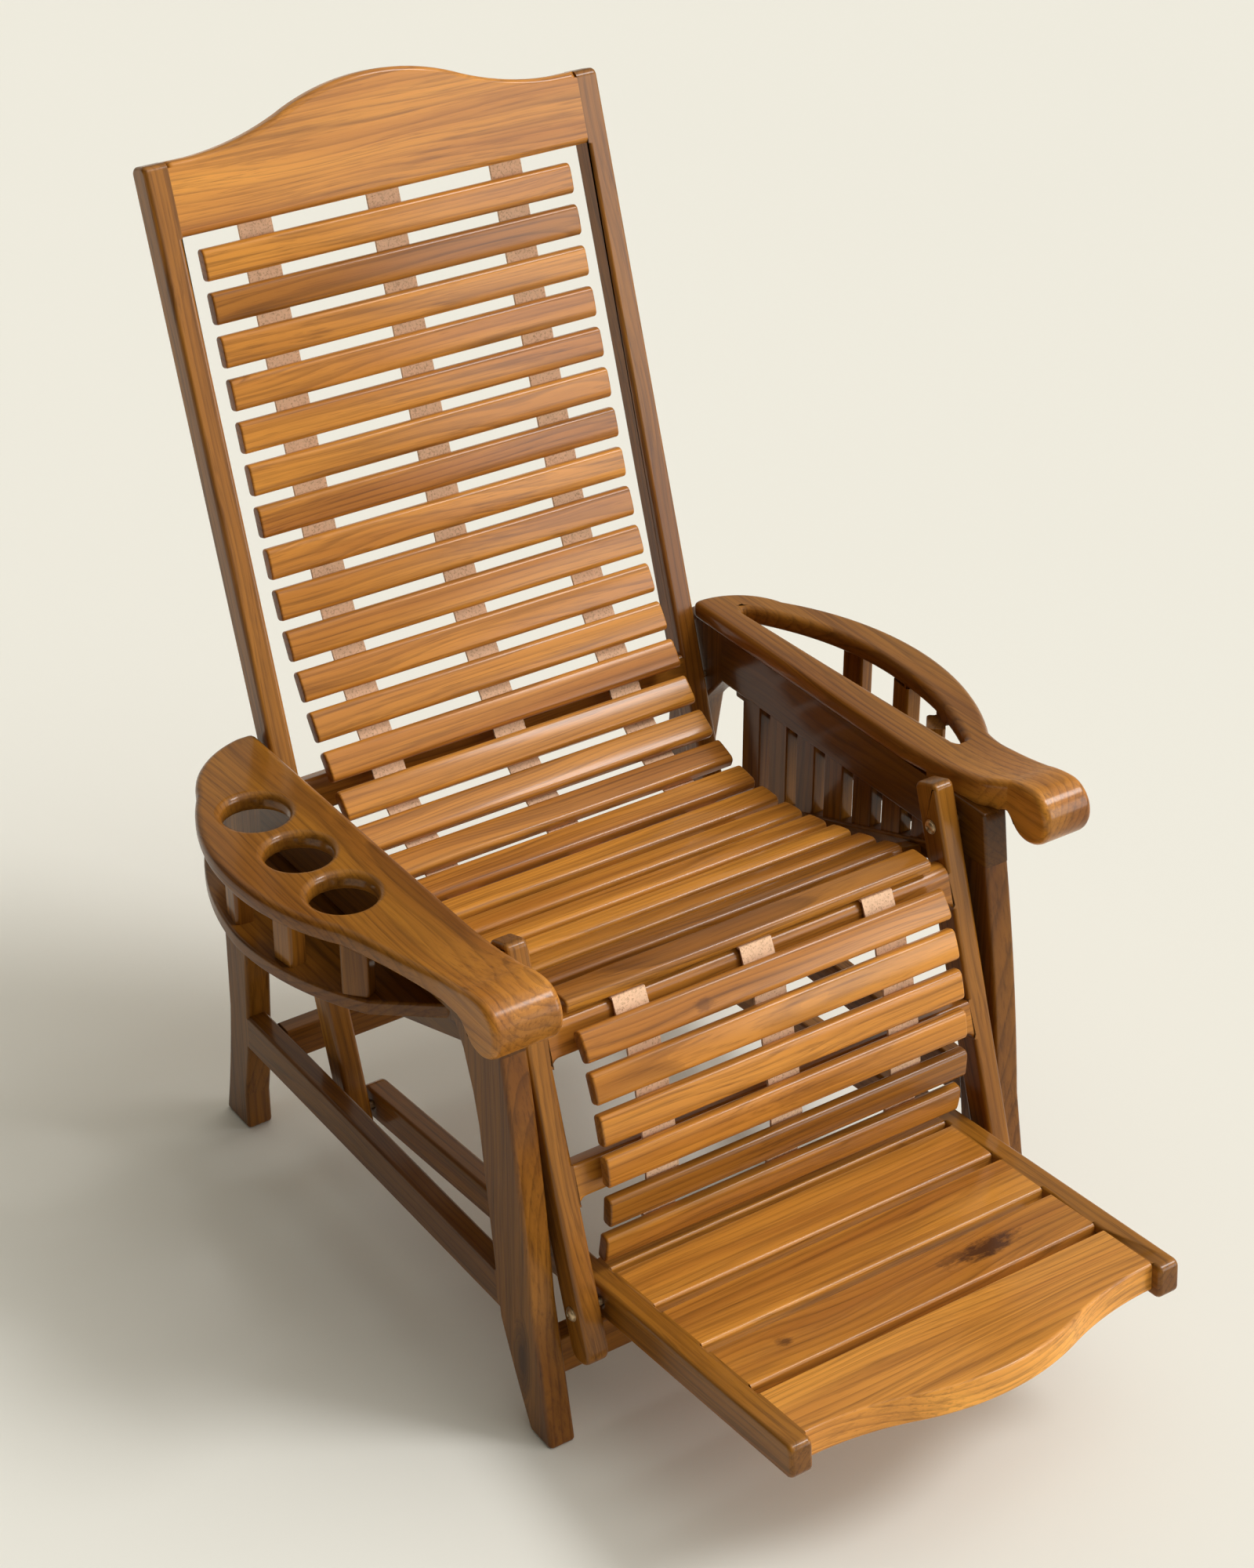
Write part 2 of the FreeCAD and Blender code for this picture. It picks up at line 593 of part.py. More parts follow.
def side_slats(side, sign):
    """Seven upright slats between the seat rail's slanted top and the arm rail."""
    bars = []
    slat_middle = (leg_inner + S.side_slat_thickness / 2 + side_slat_inset) * sign
    first = S.rear_leg_top_place - S.side_slat_setback
    last = FRONT["top"][0] + S.side_slat_lead
    pitch = (first - last) / (SIDE_SLATS - 1)
    for index in range(SIDE_SLATS):
        bar = doc.addObject("Part::Box", f"{side}_side_bar_{index + 1}")
        bind(bar, "Length", S.side_slat_thickness)
        bind(bar, "Width", S.side_slat_width)
        bind(bar, "Height", arm_rail_foot)
        bind(bar, "Placement.Base.x", slat_middle - S.side_slat_thickness / 2)
        bind(bar, "Placement.Base.y", first - pitch * index - S.side_slat_width / 2)
        bars.append(bar)
    bars_group = doc.addObject("Part::Compound", f"{side}_side_bars")
    bars_group.Links = bars
    field = body(f"{side}_slat_field")
    sketch = sketch_on(field, "YZ_Plane", f"{side}_slat_field_outline")
    polygon(sketch, [
        SEAT_RAIL["front_top"],
        SEAT_RAIL["rear_top"],
        (SEAT_RAIL["rear_top"][0], arm_rail_foot),
        (SEAT_RAIL["front_top"][0], arm_rail_foot),
    ])
    pad(field, sketch, f"{side}_slat_field_pad", S.leg_thickness * 2)
    place(field, across=slat_middle)
    slats = doc.addObject("Part::Common", f"{side}_slats_common")
    slats.Base = bars_group
    slats.Tool = field
    doc.recompute()
    node(slats, f"{side}_side_slats")


def shelf_point(name, sign):
    """A point of the shelf's outline seen from above."""
    out, back = SHELF_SHARES[name]
    return ((S.frame_half_width + S.shelf_reach * out) * sign, shelf_rear * back)


def shelf_inner(sign):
    return (leg_inner + side_slat_inset + S.side_slat_thickness) * sign


def arm_shelf(side, sign):
    """The curved shelf under an armrest, fixed to the outer faces of the side slats."""
    owner = body(f"{side}_shelf_body")
    inner = shelf_inner(sign)
    sketch = sketch_on(owner, "XY_Plane", f"{side}_shelf_outline", shelf_top - S.shelf_thickness)
    rear_inner = (inner, S.rear_leg_top_place)
    step = (S.frame_half_width * sign, S.rear_leg_top_place)
    rear_step = (S.frame_half_width * sign, shelf_point("rear", sign)[1])
    tip = (inner, shelf_point("tip", sign)[1])
    outline(sketch, rear_inner, [
        (step,),
        (rear_step,),
        (shelf_point("rear", sign),),
        (shelf_point("round", sign), shelf_point("wide", sign)),
        (shelf_point("side", sign), shelf_point("front", sign)),
        (tip,),
        (rear_inner,),
    ])
    pad(owner, sketch, f"{side}_shelf_pad", S.shelf_thickness, midplane=False)
    node(owner, f"{side}_arm_shelf")


def arm_spindles(side, sign):
    """Three short posts between the shelf's edge and the armrest, turned to follow the edge."""
    posts = []
    for index, (out, back, turn) in enumerate(SPINDLE_SHARES, start=1):
        post = body(f"{side}_post_{index}")
        sketch = sketch_on(post, "XY_Plane", f"{side}_post_{index}_section")
        half_across = S.spindle_thickness / 2
        half_along = S.spindle_width / 2
        polygon(sketch, [
            (-half_across, -half_along),
            (half_across, -half_along),
            (half_across, half_along),
            (-half_across, half_along),
        ])
        pad(post, sketch, f"{side}_post_{index}_pad", S.shelf_drop, midplane=False)
        ease_edges(post, f"{side}_post_{index}_edges", Z_AXIS)
        post.Placement = FreeCAD.Placement(FreeCAD.Vector(), FreeCAD.Rotation(Z_AXIS, -turn * sign))
        bind(post, "Placement.Base.x", (S.frame_half_width + S.shelf_reach * out) * sign)
        bind(post, "Placement.Base.y", shelf_rear * back)
        bind(post, "Placement.Base.z", shelf_top)
        posts.append(post)
    compound(f"{side}_arm_spindles", posts)


def roll_point(name):
    along_share, up_share = ROLL_SHARES[name]
    return (roll_middle + S.scroll_radius * along_share, roll_height + S.scroll_radius * up_share)


def arm_profile(owner, label, rear):
    """The side view of an armrest: a level board that rises to a roll in front."""
    sketch = sketch_on(owner, "YZ_Plane", f"{label}_profile")
    top = S.arm_height + S.arm_thickness
    front = (roll_middle - S.scroll_radius, roll_height)
    bottom = (roll_middle, roll_height - S.scroll_radius)
    sweep_start = (roll_middle + S.scroll_radius * ARM_SWEEP_SHARE, top)
    brow = roll_point("brow")
    crown = roll_point("top")
    neck = roll_point("neck")
    sweep = (brow[0] + (sweep_start[0] - brow[0]) * ARM_SWEEP_MIDDLE_SHARE,
             top + (brow[1] - top) * ARM_SWEEP_LIFT_SHARE)
    crest = (crown[0] + (brow[0] - crown[0]) * ARM_SWEEP_MIDDLE_SHARE,
             crown[1] - (crown[1] - brow[1]) * ARM_SWEEP_LIFT_SHARE)
    neck_end = (neck[0] + (S.arm_height - neck[1]) * ARM_NECK_RUN_SHARE, S.arm_height)
    outline(sketch, (rear, S.arm_height), [
        ((rear, top),),
        (sweep_start,),
        (sweep, brow),
        (crest, crown),
        (front, bottom),
        (roll_point("back"), neck),
        (neck_end,),
        ((rear, S.arm_height),),
    ])
    return pad(owner, sketch, f"{label}_pad", (S.frame_half_width + S.arm_reach) * 2 + S.overrun)


def arm_point(table, name, sign, rear):
    out, back = table[name]
    return ((S.frame_half_width + S.arm_reach * out) * sign, rear * back)


def keep_inside(owner, label, start, steps, rear):
    """Cuts away all that lies outside an outline seen from above."""
    sketch = sketch_on(owner, "XY_Plane", f"{label}_plan")
    outline(sketch, start, steps)
    far = S.frame_half_width + S.arm_reach + S.overrun * 2
    front = roll_middle - S.scroll_radius - S.overrun
    polygon(sketch, [
        (-far, front),
        (far, front),
        (far, rear + S.overrun),
        (-far, rear + S.overrun),
    ])
    pocket(owner, sketch, f"{label}_plan_cut", S.arm_height * 3, midplane=True)


def cup_armrest(side, sign):
    """The armrest with three cup holes."""
    label = f"{side}_armrest"
    owner = body(f"{label}_body")
    rear = S.rear_leg_top_place + S.cup_arm_overhang
    arm_profile(owner, label, rear)
    at = {key: arm_point(CUP_ARM_SHARES, key, sign, rear) for key in CUP_ARM_SHARES}
    front = roll_middle - S.scroll_radius - S.overrun / 2
    inner = arm_inner * sign
    keep_inside(owner, label, (inner, rear), [
        (at["rear"],),
        (at["hip"], at["wide"]),
        (at["elbow"], at["wrist"]),
        (at["palm"], at["hand"]),
        ((at["hand"][0], front),),
        ((inner, front),),
        ((inner, rear),),
    ], rear)
    sketch = sketch_on(owner, "XY_Plane", f"{label}_cups")
    out = (S.frame_half_width + S.cup_hole_out) * sign
    first = rear - S.cup_hole_inset
    for index in range(CUP_HOLES):
        circle(sketch, (out, first - S.cup_hole_pitch * index), S.cup_hole_radius)
    pocket(owner, sketch, f"{label}_cup_holes", S.arm_height * 3, midplane=True)
    node(owner, label)


def rack_armrest(side, sign):
    """The armrest with a long slot for magazines."""
    label = f"{side}_armrest"
    owner = body(f"{label}_body")
    rear = S.rear_leg_top_place + S.rack_arm_overhang
    arm_profile(owner, label, rear)
    at = {key: arm_point(RACK_ARM_SHARES, key, sign, rear) for key in RACK_ARM_SHARES}
    front = roll_middle - S.scroll_radius - S.overrun / 2
    inner = arm_inner * sign
    keep_inside(owner, label, (inner, rear), [
        (at["rear"],),
        (at["hip"], at["wide"]),
        (at["elbow"], at["wrist"]),
        (at["palm"], at["hand"]),
        ((at["hand"][0], front),),
        ((at["inner_hand"][0], front),),
        (at["inner_hand"],),
        (at["inner_palm"],),
        ((inner, at["inner_bend"][1]),),
        ((inner, rear),),
    ], rear)
    slot = {}
    for key, (out, down) in SLOT_SHARES.items():
        slant = S.slot_length * down * SLOT_SLANT_SHARE
        side_place = (arm_inner + S.slot_land + slant + S.slot_width * out) * sign
        slot[key] = (side_place, rear - S.slot_inset - S.slot_length * down)
    sketch = sketch_on(owner, "XY_Plane", f"{label}_slot_outline")
    outline(sketch, slot["point"], [
        (slot["rear"],),
        (slot["shoulder"], slot["belly"]),
        (slot["waist"], slot["front"]),
        (slot["nose"], slot["corner"]),
        (slot["tip"],),
        (slot["point"],),
    ])
    pocket(owner, sketch, f"{label}_slot", S.arm_height * 3, midplane=True)
    node(owner, label)


def bar(label, length, depth, thickness, up, back):
    """A straight rail across the chair, its edges eased; up and back give its lower front edge."""
    owner = body(f"{label}_body")
    sketch = sketch_on(owner, "YZ_Plane", f"{label}_section")
    polygon(sketch, [
        (back, up),
        (back + thickness, up),
        (back + thickness, up + depth),
        (back, up + depth),
    ])
    pad(owner, sketch, f"{label}_pad", length)
    ease_edges(owner, f"{label}_edges", X_AXIS)
    node(owner, label)


def cross_rails():
    """The rear rail between the stretchers and the front rail between the front legs."""
    bar("rear_cross_rail", (S.frame_half_width - S.stretcher_thickness) * 2, S.rear_rail_depth,
        S.rear_rail_thickness, S.stretcher_height - S.rear_rail_depth,
        REAR["shin"][0] - S.rear_rail_gap - S.rear_rail_thickness)
    bar("front_cross_rail", leg_inner * 2, S.front_rail_depth,
        S.front_rail_thickness, S.front_rail_height - S.front_rail_depth, toe + S.front_rail_setback)


# The moving frames are drawn upright about their pivots and then leaned back.


def stile(sign, label, pivot, sizes):
    """A stile of the back or calf frame, round at its foot, bored for its two bolts."""
    head, tail, depth, thickness, middle = sizes
    owner = body(f"{label}_body")
    half = depth / 2
    foot = -link_length - tail
    corner = S.stile_corner
    cut = corner * ROUND_SHARE
    sketch = sketch_on(owner, "YZ_Plane", f"{label}_outline")
    outline(sketch, (-half, foot + half), [
        ((0, foot), (half, foot + half)),
        ((half, head - corner),),
        ((half - cut, head - cut), (half - corner, head)),
        ((corner - half, head),),
        ((cut - half, head - cut), (-half, head - corner)),
        ((-half, foot + half),),
    ])
    pad(owner, sketch, f"{label}_pad", thickness)
    for name, height, gap in (("upper", 0, S.running_gap), ("lower", -link_length, S.seat_gap)):
        drill = sketch_on(owner, "YZ_Plane", f"{label}_{name}_circle")
        circle(drill, (0, height), S.bolt_radius + gap)
        pocket(owner, drill, f"{label}_{name}_hole", thickness + S.overrun, midplane=True)
    place(owner, across=middle * sign, back=pivot[0], up=pivot[1], tilt=S.recline_angle)
    node(owner, label)


def lean_in_frame(owner, pivot, back):
    """Leans a piece that was drawn at a pivot, and sets it back from the frame's middle plane."""
    place(owner, back=pivot[0] + back * lean_up, up=pivot[1] - back * lean_back, tilt=S.recline_angle)


def back_lower_rail():
    """The rail between the back stiles at their pivots, flush with their front faces."""
    owner = body("back_lower_rail_body")
    front = -(S.stile_depth / 2)
    sketch = sketch_on(owner, "YZ_Plane", "back_lower_rail_section")
    polygon(sketch, [
        (front, -S.back_rail_foot),
        (front + S.back_rail_thickness, -S.back_rail_foot),
        (front + S.back_rail_thickness, S.back_rail_depth - S.back_rail_foot),
        (front, S.back_rail_depth - S.back_rail_foot),
    ])
    pad(owner, sketch, "back_lower_rail_pad", stile_inner * 2)
    ease_edges(owner, "back_lower_rail_edges", X_AXIS)
    lean_in_frame(owner, back_pivot, 0)
    node(owner, "back_lower_rail")


def calf_rail(label, drop, depth, front_round=None):
    """A rail of the calf frame, whose lower corners run down onto the stiles in small hollows."""
    owner = body(f"{label}_body")
    half = calf_stile_inner
    web = S.calf_rail_web
    cut = web * ROUND_SHARE
    foot = -(drop + depth)
    sketch = sketch_on(owner, "XZ_Plane", f"{label}_outline")
    outline(sketch, (-half, foot - web), [
        ((cut - half, foot - cut), (web - half, foot)),
        ((half - web, foot),),
        ((half - cut, foot - cut), (half, foot - web)),
        ((half, -drop),),
        ((-half, -drop),),
        ((-half, foot - web),),
    ])
    pad(owner, sketch, f"{label}_pad", S.calf_rail_thickness)
    if front_round is not None:
        base = owner.Tip
        top_front = [edge for edge, middle in edges_along(X_AXIS, base.Shape).items()
                     if middle.y < 0 and abs(middle.z + drop.value) < S.open_gap.value]
        feature = owner.newObject("PartDesign::Fillet", f"{label}_front_round")
        feature.Base = (base, top_front)
        bind(feature, "Radius", front_round)
        doc.recompute()
    lean_in_frame(owner, calf_pivot, (S.calf_rail_thickness - S.calf_stile_depth) / 2)
    node(owner, label)


def crest_rail():
    """The top rail of the back: level shoulders and a hump, joined by S curves."""
    owner = body("crest_rail_body")
    half = stile_inner
    flank = half - S.crest_shoulder
    head = S.stile_head
    rise = S.crest_rise
    waist = flank * CREST_WAIST_SHARE
    low = head + rise * CREST_LOW_SHARE
    sketch = sketch_on(owner, "XZ_Plane", "crest_rail_outline")
    outline(sketch, (-half, crest_foot), [
        ((half, crest_foot),),
        ((half, head),),
        ((flank, head),),
        ((waist, low), (flank / 2, head + rise / 2)),
        ((0, head + rise), (-(flank / 2), head + rise / 2)),
        ((-waist, low), (-flank, head)),
        ((-half, head),),
        ((-half, crest_foot),),
    ])
    pad(owner, sketch, "crest_rail_pad", S.crest_thickness)
    lean_in_frame(owner, back_pivot, (S.crest_thickness - S.stile_depth) / 2)
    node(owner, "crest_rail")


def back_frame():
    for side, sign in SIDES.items():
        stile(sign, f"{side}_back_stile", back_pivot,
              (S.stile_head, S.stile_tail, S.stile_depth, S.stile_thickness, stile_middle))
    crest_rail()
    back_lower_rail()


def calf_frame():
    for side, sign in SIDES.items():
        stile(sign, f"{side}_calf_stile", calf_pivot,
              (S.calf_stile_head, S.calf_stile_tail, S.calf_stile_depth, S.calf_stile_thickness,
               calf_stile_middle))
    calf_rail("calf_top_rail", calf_rail_drop, S.calf_rail_depth, S.calf_rail_round)
    calf_rail("calf_middle_rail", calf_middle_drop, S.calf_middle_depth)


# The footrest is drawn level about its front pivot, with its front end toward -Y, and then tipped up.


def footrest_piece(owner, label, across=0):
    place(owner, across=across, back=front_link[0], up=front_link[1], tilt=footrest_slope)
    node(owner, label)


def front_board_rear():
    """Rear edge of the front board, in front of the footrest's front pivot as a negative place."""
    return S.board_start - (S.board_width + S.board_gap) * FOOTREST_BOARDS


def footrest_rail(side, sign):
    """A rail of the footrest, round at its rear end, bored for the two footrest bolts."""
    label = f"{side}_footrest_rail"
    owner = body(f"{label}_body")
    half = S.footrest_rail_depth / 2
    rear = footrest_run + S.stile_tail
    corner = S.stile_corner
    cut = corner * ROUND_SHARE
    nose = front_board_rear() - S.front_board_width + S.front_board_wave - S.footrest_nose
    sketch = sketch_on(owner, "YZ_Plane", f"{label}_outline")
    outline(sketch, (nose + corner, -half), [
        ((rear - half, -half),),
        ((rear, 0), (rear - half, half)),
        ((nose + corner, half),),
        ((nose + cut, half - cut), (nose, half - corner)),
        ((nose, corner - half),),
        ((nose + cut, cut - half), (nose + corner, -half)),
    ])
    pad(owner, sketch, f"{label}_pad", S.footrest_rail_thickness)
    outer_face = S.footrest_rail_thickness / 2 * sign
    for name, back, gap in (("front", 0, S.running_gap), ("rear", footrest_run, S.open_gap)):
        bore(owner, f"{label}_{name}_hole", "YZ_Plane", (back, 0), S.bolt_radius + gap,
             S.bolt_grip, outer_face, reverse=sign < 0)
    footrest_piece(owner, label, (footrest_outer - S.footrest_rail_thickness / 2) * sign)


def footrest_board(label, rear, width, thickness):
    """A board between the footrest rails, flush with their tops."""
    owner = body(f"{label}_body")
    top = S.footrest_rail_depth / 2
    sketch = sketch_on(owner, "YZ_Plane", f"{label}_section")
    polygon(sketch, [
        (rear - width, top - thickness),
        (rear, top - thickness),
        (rear, top),
        (rear - width, top),
    ])
    pad(owner, sketch, f"{label}_pad", footrest_inner * 2)
    ease_edges(owner, f"{label}_edges", X_AXIS)
    footrest_piece(owner, label)


def front_board(rear):
    """The deep front board, whose front edge swells forward in the middle."""
    label = "footrest_front_board"
    owner = body(f"{label}_body")
    half = footrest_inner
    front = rear - S.front_board_width
    wave = S.front_board_wave
    corner = front + wave
    at = {key: (half * out, corner - wave * ahead) for key, (out, ahead) in BOARD_SHARES.items()}
    other = {key: (-across, back) for key, (across, back) in at.items()}
    sketch = sketch_on(owner, "XY_Plane", f"{label}_outline", S.footrest_rail_depth / 2 - S.front_board_lip)
    outline(sketch, (-half, rear), [
        ((half, rear),),
        ((half, corner),),
        (at["flank"], at["swell"]),
        ((0, front), other["swell"]),
        (other["flank"], (-half, corner)),
        ((-half, rear),),
    ])
    pad(owner, sketch, f"{label}_pad", S.front_board_lip, midplane=False)
    footrest_piece(owner, label)


def footrest():
    for side, sign in SIDES.items():
        footrest_rail(side, sign)
    for index in range(FOOTREST_BOARDS):
        rear = S.board_start - (S.board_width + S.board_gap) * index
        footrest_board(f"footrest_board_{index + 1}", rear, S.board_width, S.board_thickness)
    front_board(front_board_rear())
    footrest_board("footrest_rear_bar", S.board_start + S.rear_bar_gap + S.rear_bar_thickness,
                   S.rear_bar_thickness, S.footrest_rail_depth)


# Pivot bolts: each lies along X, its shank from the wood it grips to its head.


def pivot_bolt(label, sign, at, tip, head_face, headed=True):
    """A round bolt, with or without a disc head; its places along X are the left side's."""
    outward = head_face.value > tip.value
    owner = body(f"{label}_body")
    reverse = outward != (sign > 0)
    shank = sketch_on(owner, "YZ_Plane", f"{label}_shank_circle", tip * sign)
    circle(shank, (0, 0), S.bolt_radius)
    length = head_face - tip if outward else tip - head_face
    pad(owner, shank, f"{label}_shank", length, midplane=False, reverse=reverse)
    if headed:
        head = sketch_on(owner, "YZ_Plane", f"{label}_head_circle", head_face * sign)
        circle(head, (0, 0), S.bolt_head_radius)
        pad(owner, head, f"{label}_head", S.bolt_head_height, midplane=False, reverse=reverse)
    place(owner, back=at[0], up=at[1])
    node(owner, label)


def pivots():
    """Bolts of the four pivots on each side."""
    gap = S.open_gap
    grip = leg_inner + S.bolt_grip - gap
    held = footrest_outer - S.bolt_grip + gap
    for side, sign in SIDES.items():
        pivot_bolt(f"{side}_calf_pivot", sign, calf_pivot, grip, calf_stile_inner - gap)
        pivot_bolt(f"{side}_back_pivot", sign, back_pivot, grip, stile_inner + gap, headed=False)
        pivot_bolt(f"{side}_front_footrest_pivot", sign, front_link, held, stile_outer)
        pivot_bolt(f"{side}_rear_footrest_pivot", sign, rear_link, held, stile_outer)


# The mat. A slat's place is the middle of its flat back as (place, height), with a heading in degrees
# from straight down toward the front. These are worked out in plain numbers from the sheet.


def step_from(point, heading, distance):
    turn = math.radians(heading)
    return (point[0] - math.sin(turn) * distance, point[1] - math.cos(turn) * distance)


def leaned(pivot, forward, down):
    """A place given in a leaned frame, as a place in the chair."""
    turn = S.recline_angle.value
    at = step_from((pivot[0].value, pivot[1].value), turn, down)
    return step_from(at, turn + 90, forward)


def back_places():
    """Slats of the back: a straight run behind the crest's plane, then a gentle curve forward."""
    places = []
    pitch = back_pitch.value
    radius = S.lumbar_radius.value
    plane_back = S.crest_thickness.value - S.stile_depth.value / 2
    first = crest_foot.value - S.slat_drop.value
    for index in range(BACK_SLATS):
        bent = max(0, index - STRAIGHT_SLATS + 1) * pitch
        turn = bent / radius
        down = index * pitch - bent + radius * math.sin(turn) - first
        forward = radius * (1 - math.cos(turn)) - plane_back
        places.append((leaned(back_pivot, forward, down), S.recline_angle.value + math.degrees(turn)))
    return places


def calf_places():
    """Slats over the calf frame, from the one that lies on its top rail down to the loose end."""
    pitch = calf_pitch.value
    rails = S.calf_stile_depth.value / 2 + S.strap_thickness.value
    places = []
    for forward, down, heading in CALF_SLAT_SHARES:
        at = leaned(calf_pivot, rails + forward * pitch, down * pitch)
        places.append((at, S.recline_angle.value + heading))
    return places


def seat_places(start, end):
    """Slats of the seat, evenly spaced along one curve from the back's last slat to the calf's first."""
    first = step_from(start[0], start[1], back_pitch.value / 2)
    last = step_from(end[0], end[1] + SEAT_EXIT_ANGLE / 2, -calf_pitch.value / 2)
    chord = math.dist(first, last)
    pull = step_from(first, start[1], chord * SEAT_ENTRY_SHARE)
    push = step_from(last, end[1] + SEAT_EXIT_ANGLE, -chord * SEAT_EXIT_SHARE)
    curve = Part.BezierCurve()
    curve.setPoles([FreeCAD.Vector(0, y, z) for y, z in (first, pull, push, last)])
    places = []
    for index in range(SEAT_SLATS):
        along_curve = curve.parameterAtDistance(curve.length() * (index + 0.5) / SEAT_SLATS, 0)
        at = curve.value(along_curve)
        run = curve.tangent(along_curve)[0]
        places.append(((at.y, at.z), math.degrees(math.atan2(-run.y, -run.z))))
    return places


def slats(label, places):
    """One slat with a flat back and rounded front edges, repeated at each place."""
    half = slat_width / 2
    corner = S.slat_round
    cut = corner * ROUND_SHARE
    front = -S.slat_thickness
    pattern = body(f"{label}_pattern")
    sketch = sketch_on(pattern, "YZ_Plane", f"{label}_section")
    outline(sketch, (0, -half), [
        ((0, half),),
        ((front + corner, half),),
        ((front + cut, half - cut), (front, half - corner)),
        ((front, corner - half),),
        ((front + cut, cut - half), (front + corner, -half)),
        ((0, -half),),
    ])
    pad(pattern, sketch, f"{label}_pad", slat_half_length * 2)
    solids = []
    for (back, up), heading in places:
        solid = pattern.Shape.copy()
        solid.Placement = FreeCAD.Placement(FreeCAD.Vector(0, back, up), FreeCAD.Rotation(X_AXIS, -heading))
        solids.append(solid)
    piece = doc.addObject("Part::Feature", f"{label}_mat")
    piece.Shape = Part.makeCompound(solids)
    node(piece, label)


def strap_line(places, lead, tail):
    """Both ends of a strap's run behind each slat, with a lead before the first and a tail past the last."""
    half = slat_width.value / 2
    line = []
    for at, heading in places:
        line.append((step_from(at, heading, -half), heading))
        line.append((step_from(at, heading, half), heading))
    line.insert(0, (step_from(line[0][0], line[0][1], -lead), line[0][1]))
    line.append((step_from(line[-1][0], line[-1][1], tail), line[-1][1]))
    return line


def straps(label, line):
    """Three straps, each straight along the slats' flat backs and bending only between slats."""
    width = S.strap_width.value
    outer = [FreeCAD.Vector(-width / 2, point[0], point[1]) for point, heading in line]
    inner = []
    for point, heading in line:
        below = step_from(point, heading - 90, S.strap_thickness.value)
        inner.append(FreeCAD.Vector(-width / 2, below[0], below[1]))
    wire = Part.makePolygon(outer + inner[::-1] + outer[:1])
    strap = Part.Face(wire).extrude(FreeCAD.Vector(width, 0, 0))
    solids = []
    for index in (-1, 0, 1):
        solid = strap.copy()
        solid.translate(FreeCAD.Vector(strap_spacing.value * index, 0, 0))
        solids.append(solid)
    piece = doc.addObject("Part::Feature", f"{label}_band")
    piece.Shape = Part.makeCompound(solids)
    node(piece, label)


def bearer(label, seat_place):
    """A cross rail under the seat straps, its ends cut down to the seat rails' depth."""
    (back, up), heading = seat_place
    at = step_from((back, up), heading - 90, S.strap_thickness.value)
    front, rear = SEAT_RAIL["front_foot"], SEAT_RAIL["rear_foot"]
    share = (at[0] - front[0].value) / (rear[0].value - front[0].value)
    rail_foot = front[1].value + (rear[1].value - front[1].value) * share
    depth = (at[1] - rail_foot) / math.sin(math.radians(heading))
    owner = body(f"{label}_body")
    sketch = sketch_on(owner, "YZ_Plane", f"{label}_section")
    half = S.bearer_width / 2
    polygon(sketch, [
        (-half, -depth),
        (half, -depth),
        (half, 0),
        (-half, 0),
    ])
    pad(owner, sketch, f"{label}_pad", leg_inner * 2)
    ends = sketch_on(owner, "XZ_Plane", f"{label}_ends")
    for sign in SIDES.values():
        polygon(ends, [
            (slat_half_length * sign, 0),
            (leg_inner * sign, 0),
            (leg_inner * sign, S.seat_rail_depth - depth),
        ])
    pocket(owner, ends, f"{label}_ends_cut", S.bearer_width * 2, midplane=True)
    turn = FreeCAD.Rotation(X_AXIS, 90 - heading)
    owner.Placement = FreeCAD.Placement(FreeCAD.Vector(0, at[0], at[1]), turn)
    node(owner, label)


def mat():
    back = back_places()
    calf = calf_places()
    seat = seat_places(back[-1], calf[0])
    slats("back_slats", back)
    slats("seat_slats", seat)
    slats("calf_slats", calf)
    lead = S.slat_drop.value + S.strap_tuck.value - slat_width.value / 2
    end = (smaller(back_pitch, calf_pitch).value - slat_width.value) / 2 * STRAP_END_SHARE
    straps("back_straps", strap_line(back, lead, end))
    straps("seat_straps", strap_line(seat, end, end))
    straps("calf_straps", strap_line(calf, end, end))
    bearer("rear_seat_bearer", seat[REAR_BEARER_SLAT])
    bearer("front_seat_bearer", seat[FRONT_BEARER_SLAT])


def side_frames():
    for side, sign in SIDES.items():
        front_leg(side, sign)
        rear_leg(side, sign)
        lower_stretcher(side, sign)
        arm_rail(side, sign)
        seat_rail(side, sign)
        side_slats(side, sign)
        arm_shelf(side, sign)
        arm_spindles(side, sign)
    cup_armrest("right", SIDES["right"])
    rack_armrest("left", SIDES["left"])
    cross_rails()


def check_and_write():
    """Checks every feature and writes each piece to its own file."""
    doc.recompute()
    for obj in doc.Objects:
        if "Invalid" in obj.State or "Error" in obj.State:
            raise RuntimeError(f"{obj.Name} is {obj.State}")
    os.makedirs("parts", exist_ok=True)
    for piece in NODES:
        if piece.Shape.isNull() or not piece.Shape.isValid():
            raise RuntimeError(f"{piece.Label} has no valid shape")
        piece.Shape.exportStep(f"parts/{piece.Label}.step")
    print(len(NODES), "pieces written")


side_frames()
back_frame()
calf_frame()
footrest()
pivots()
mat()
check_and_write()
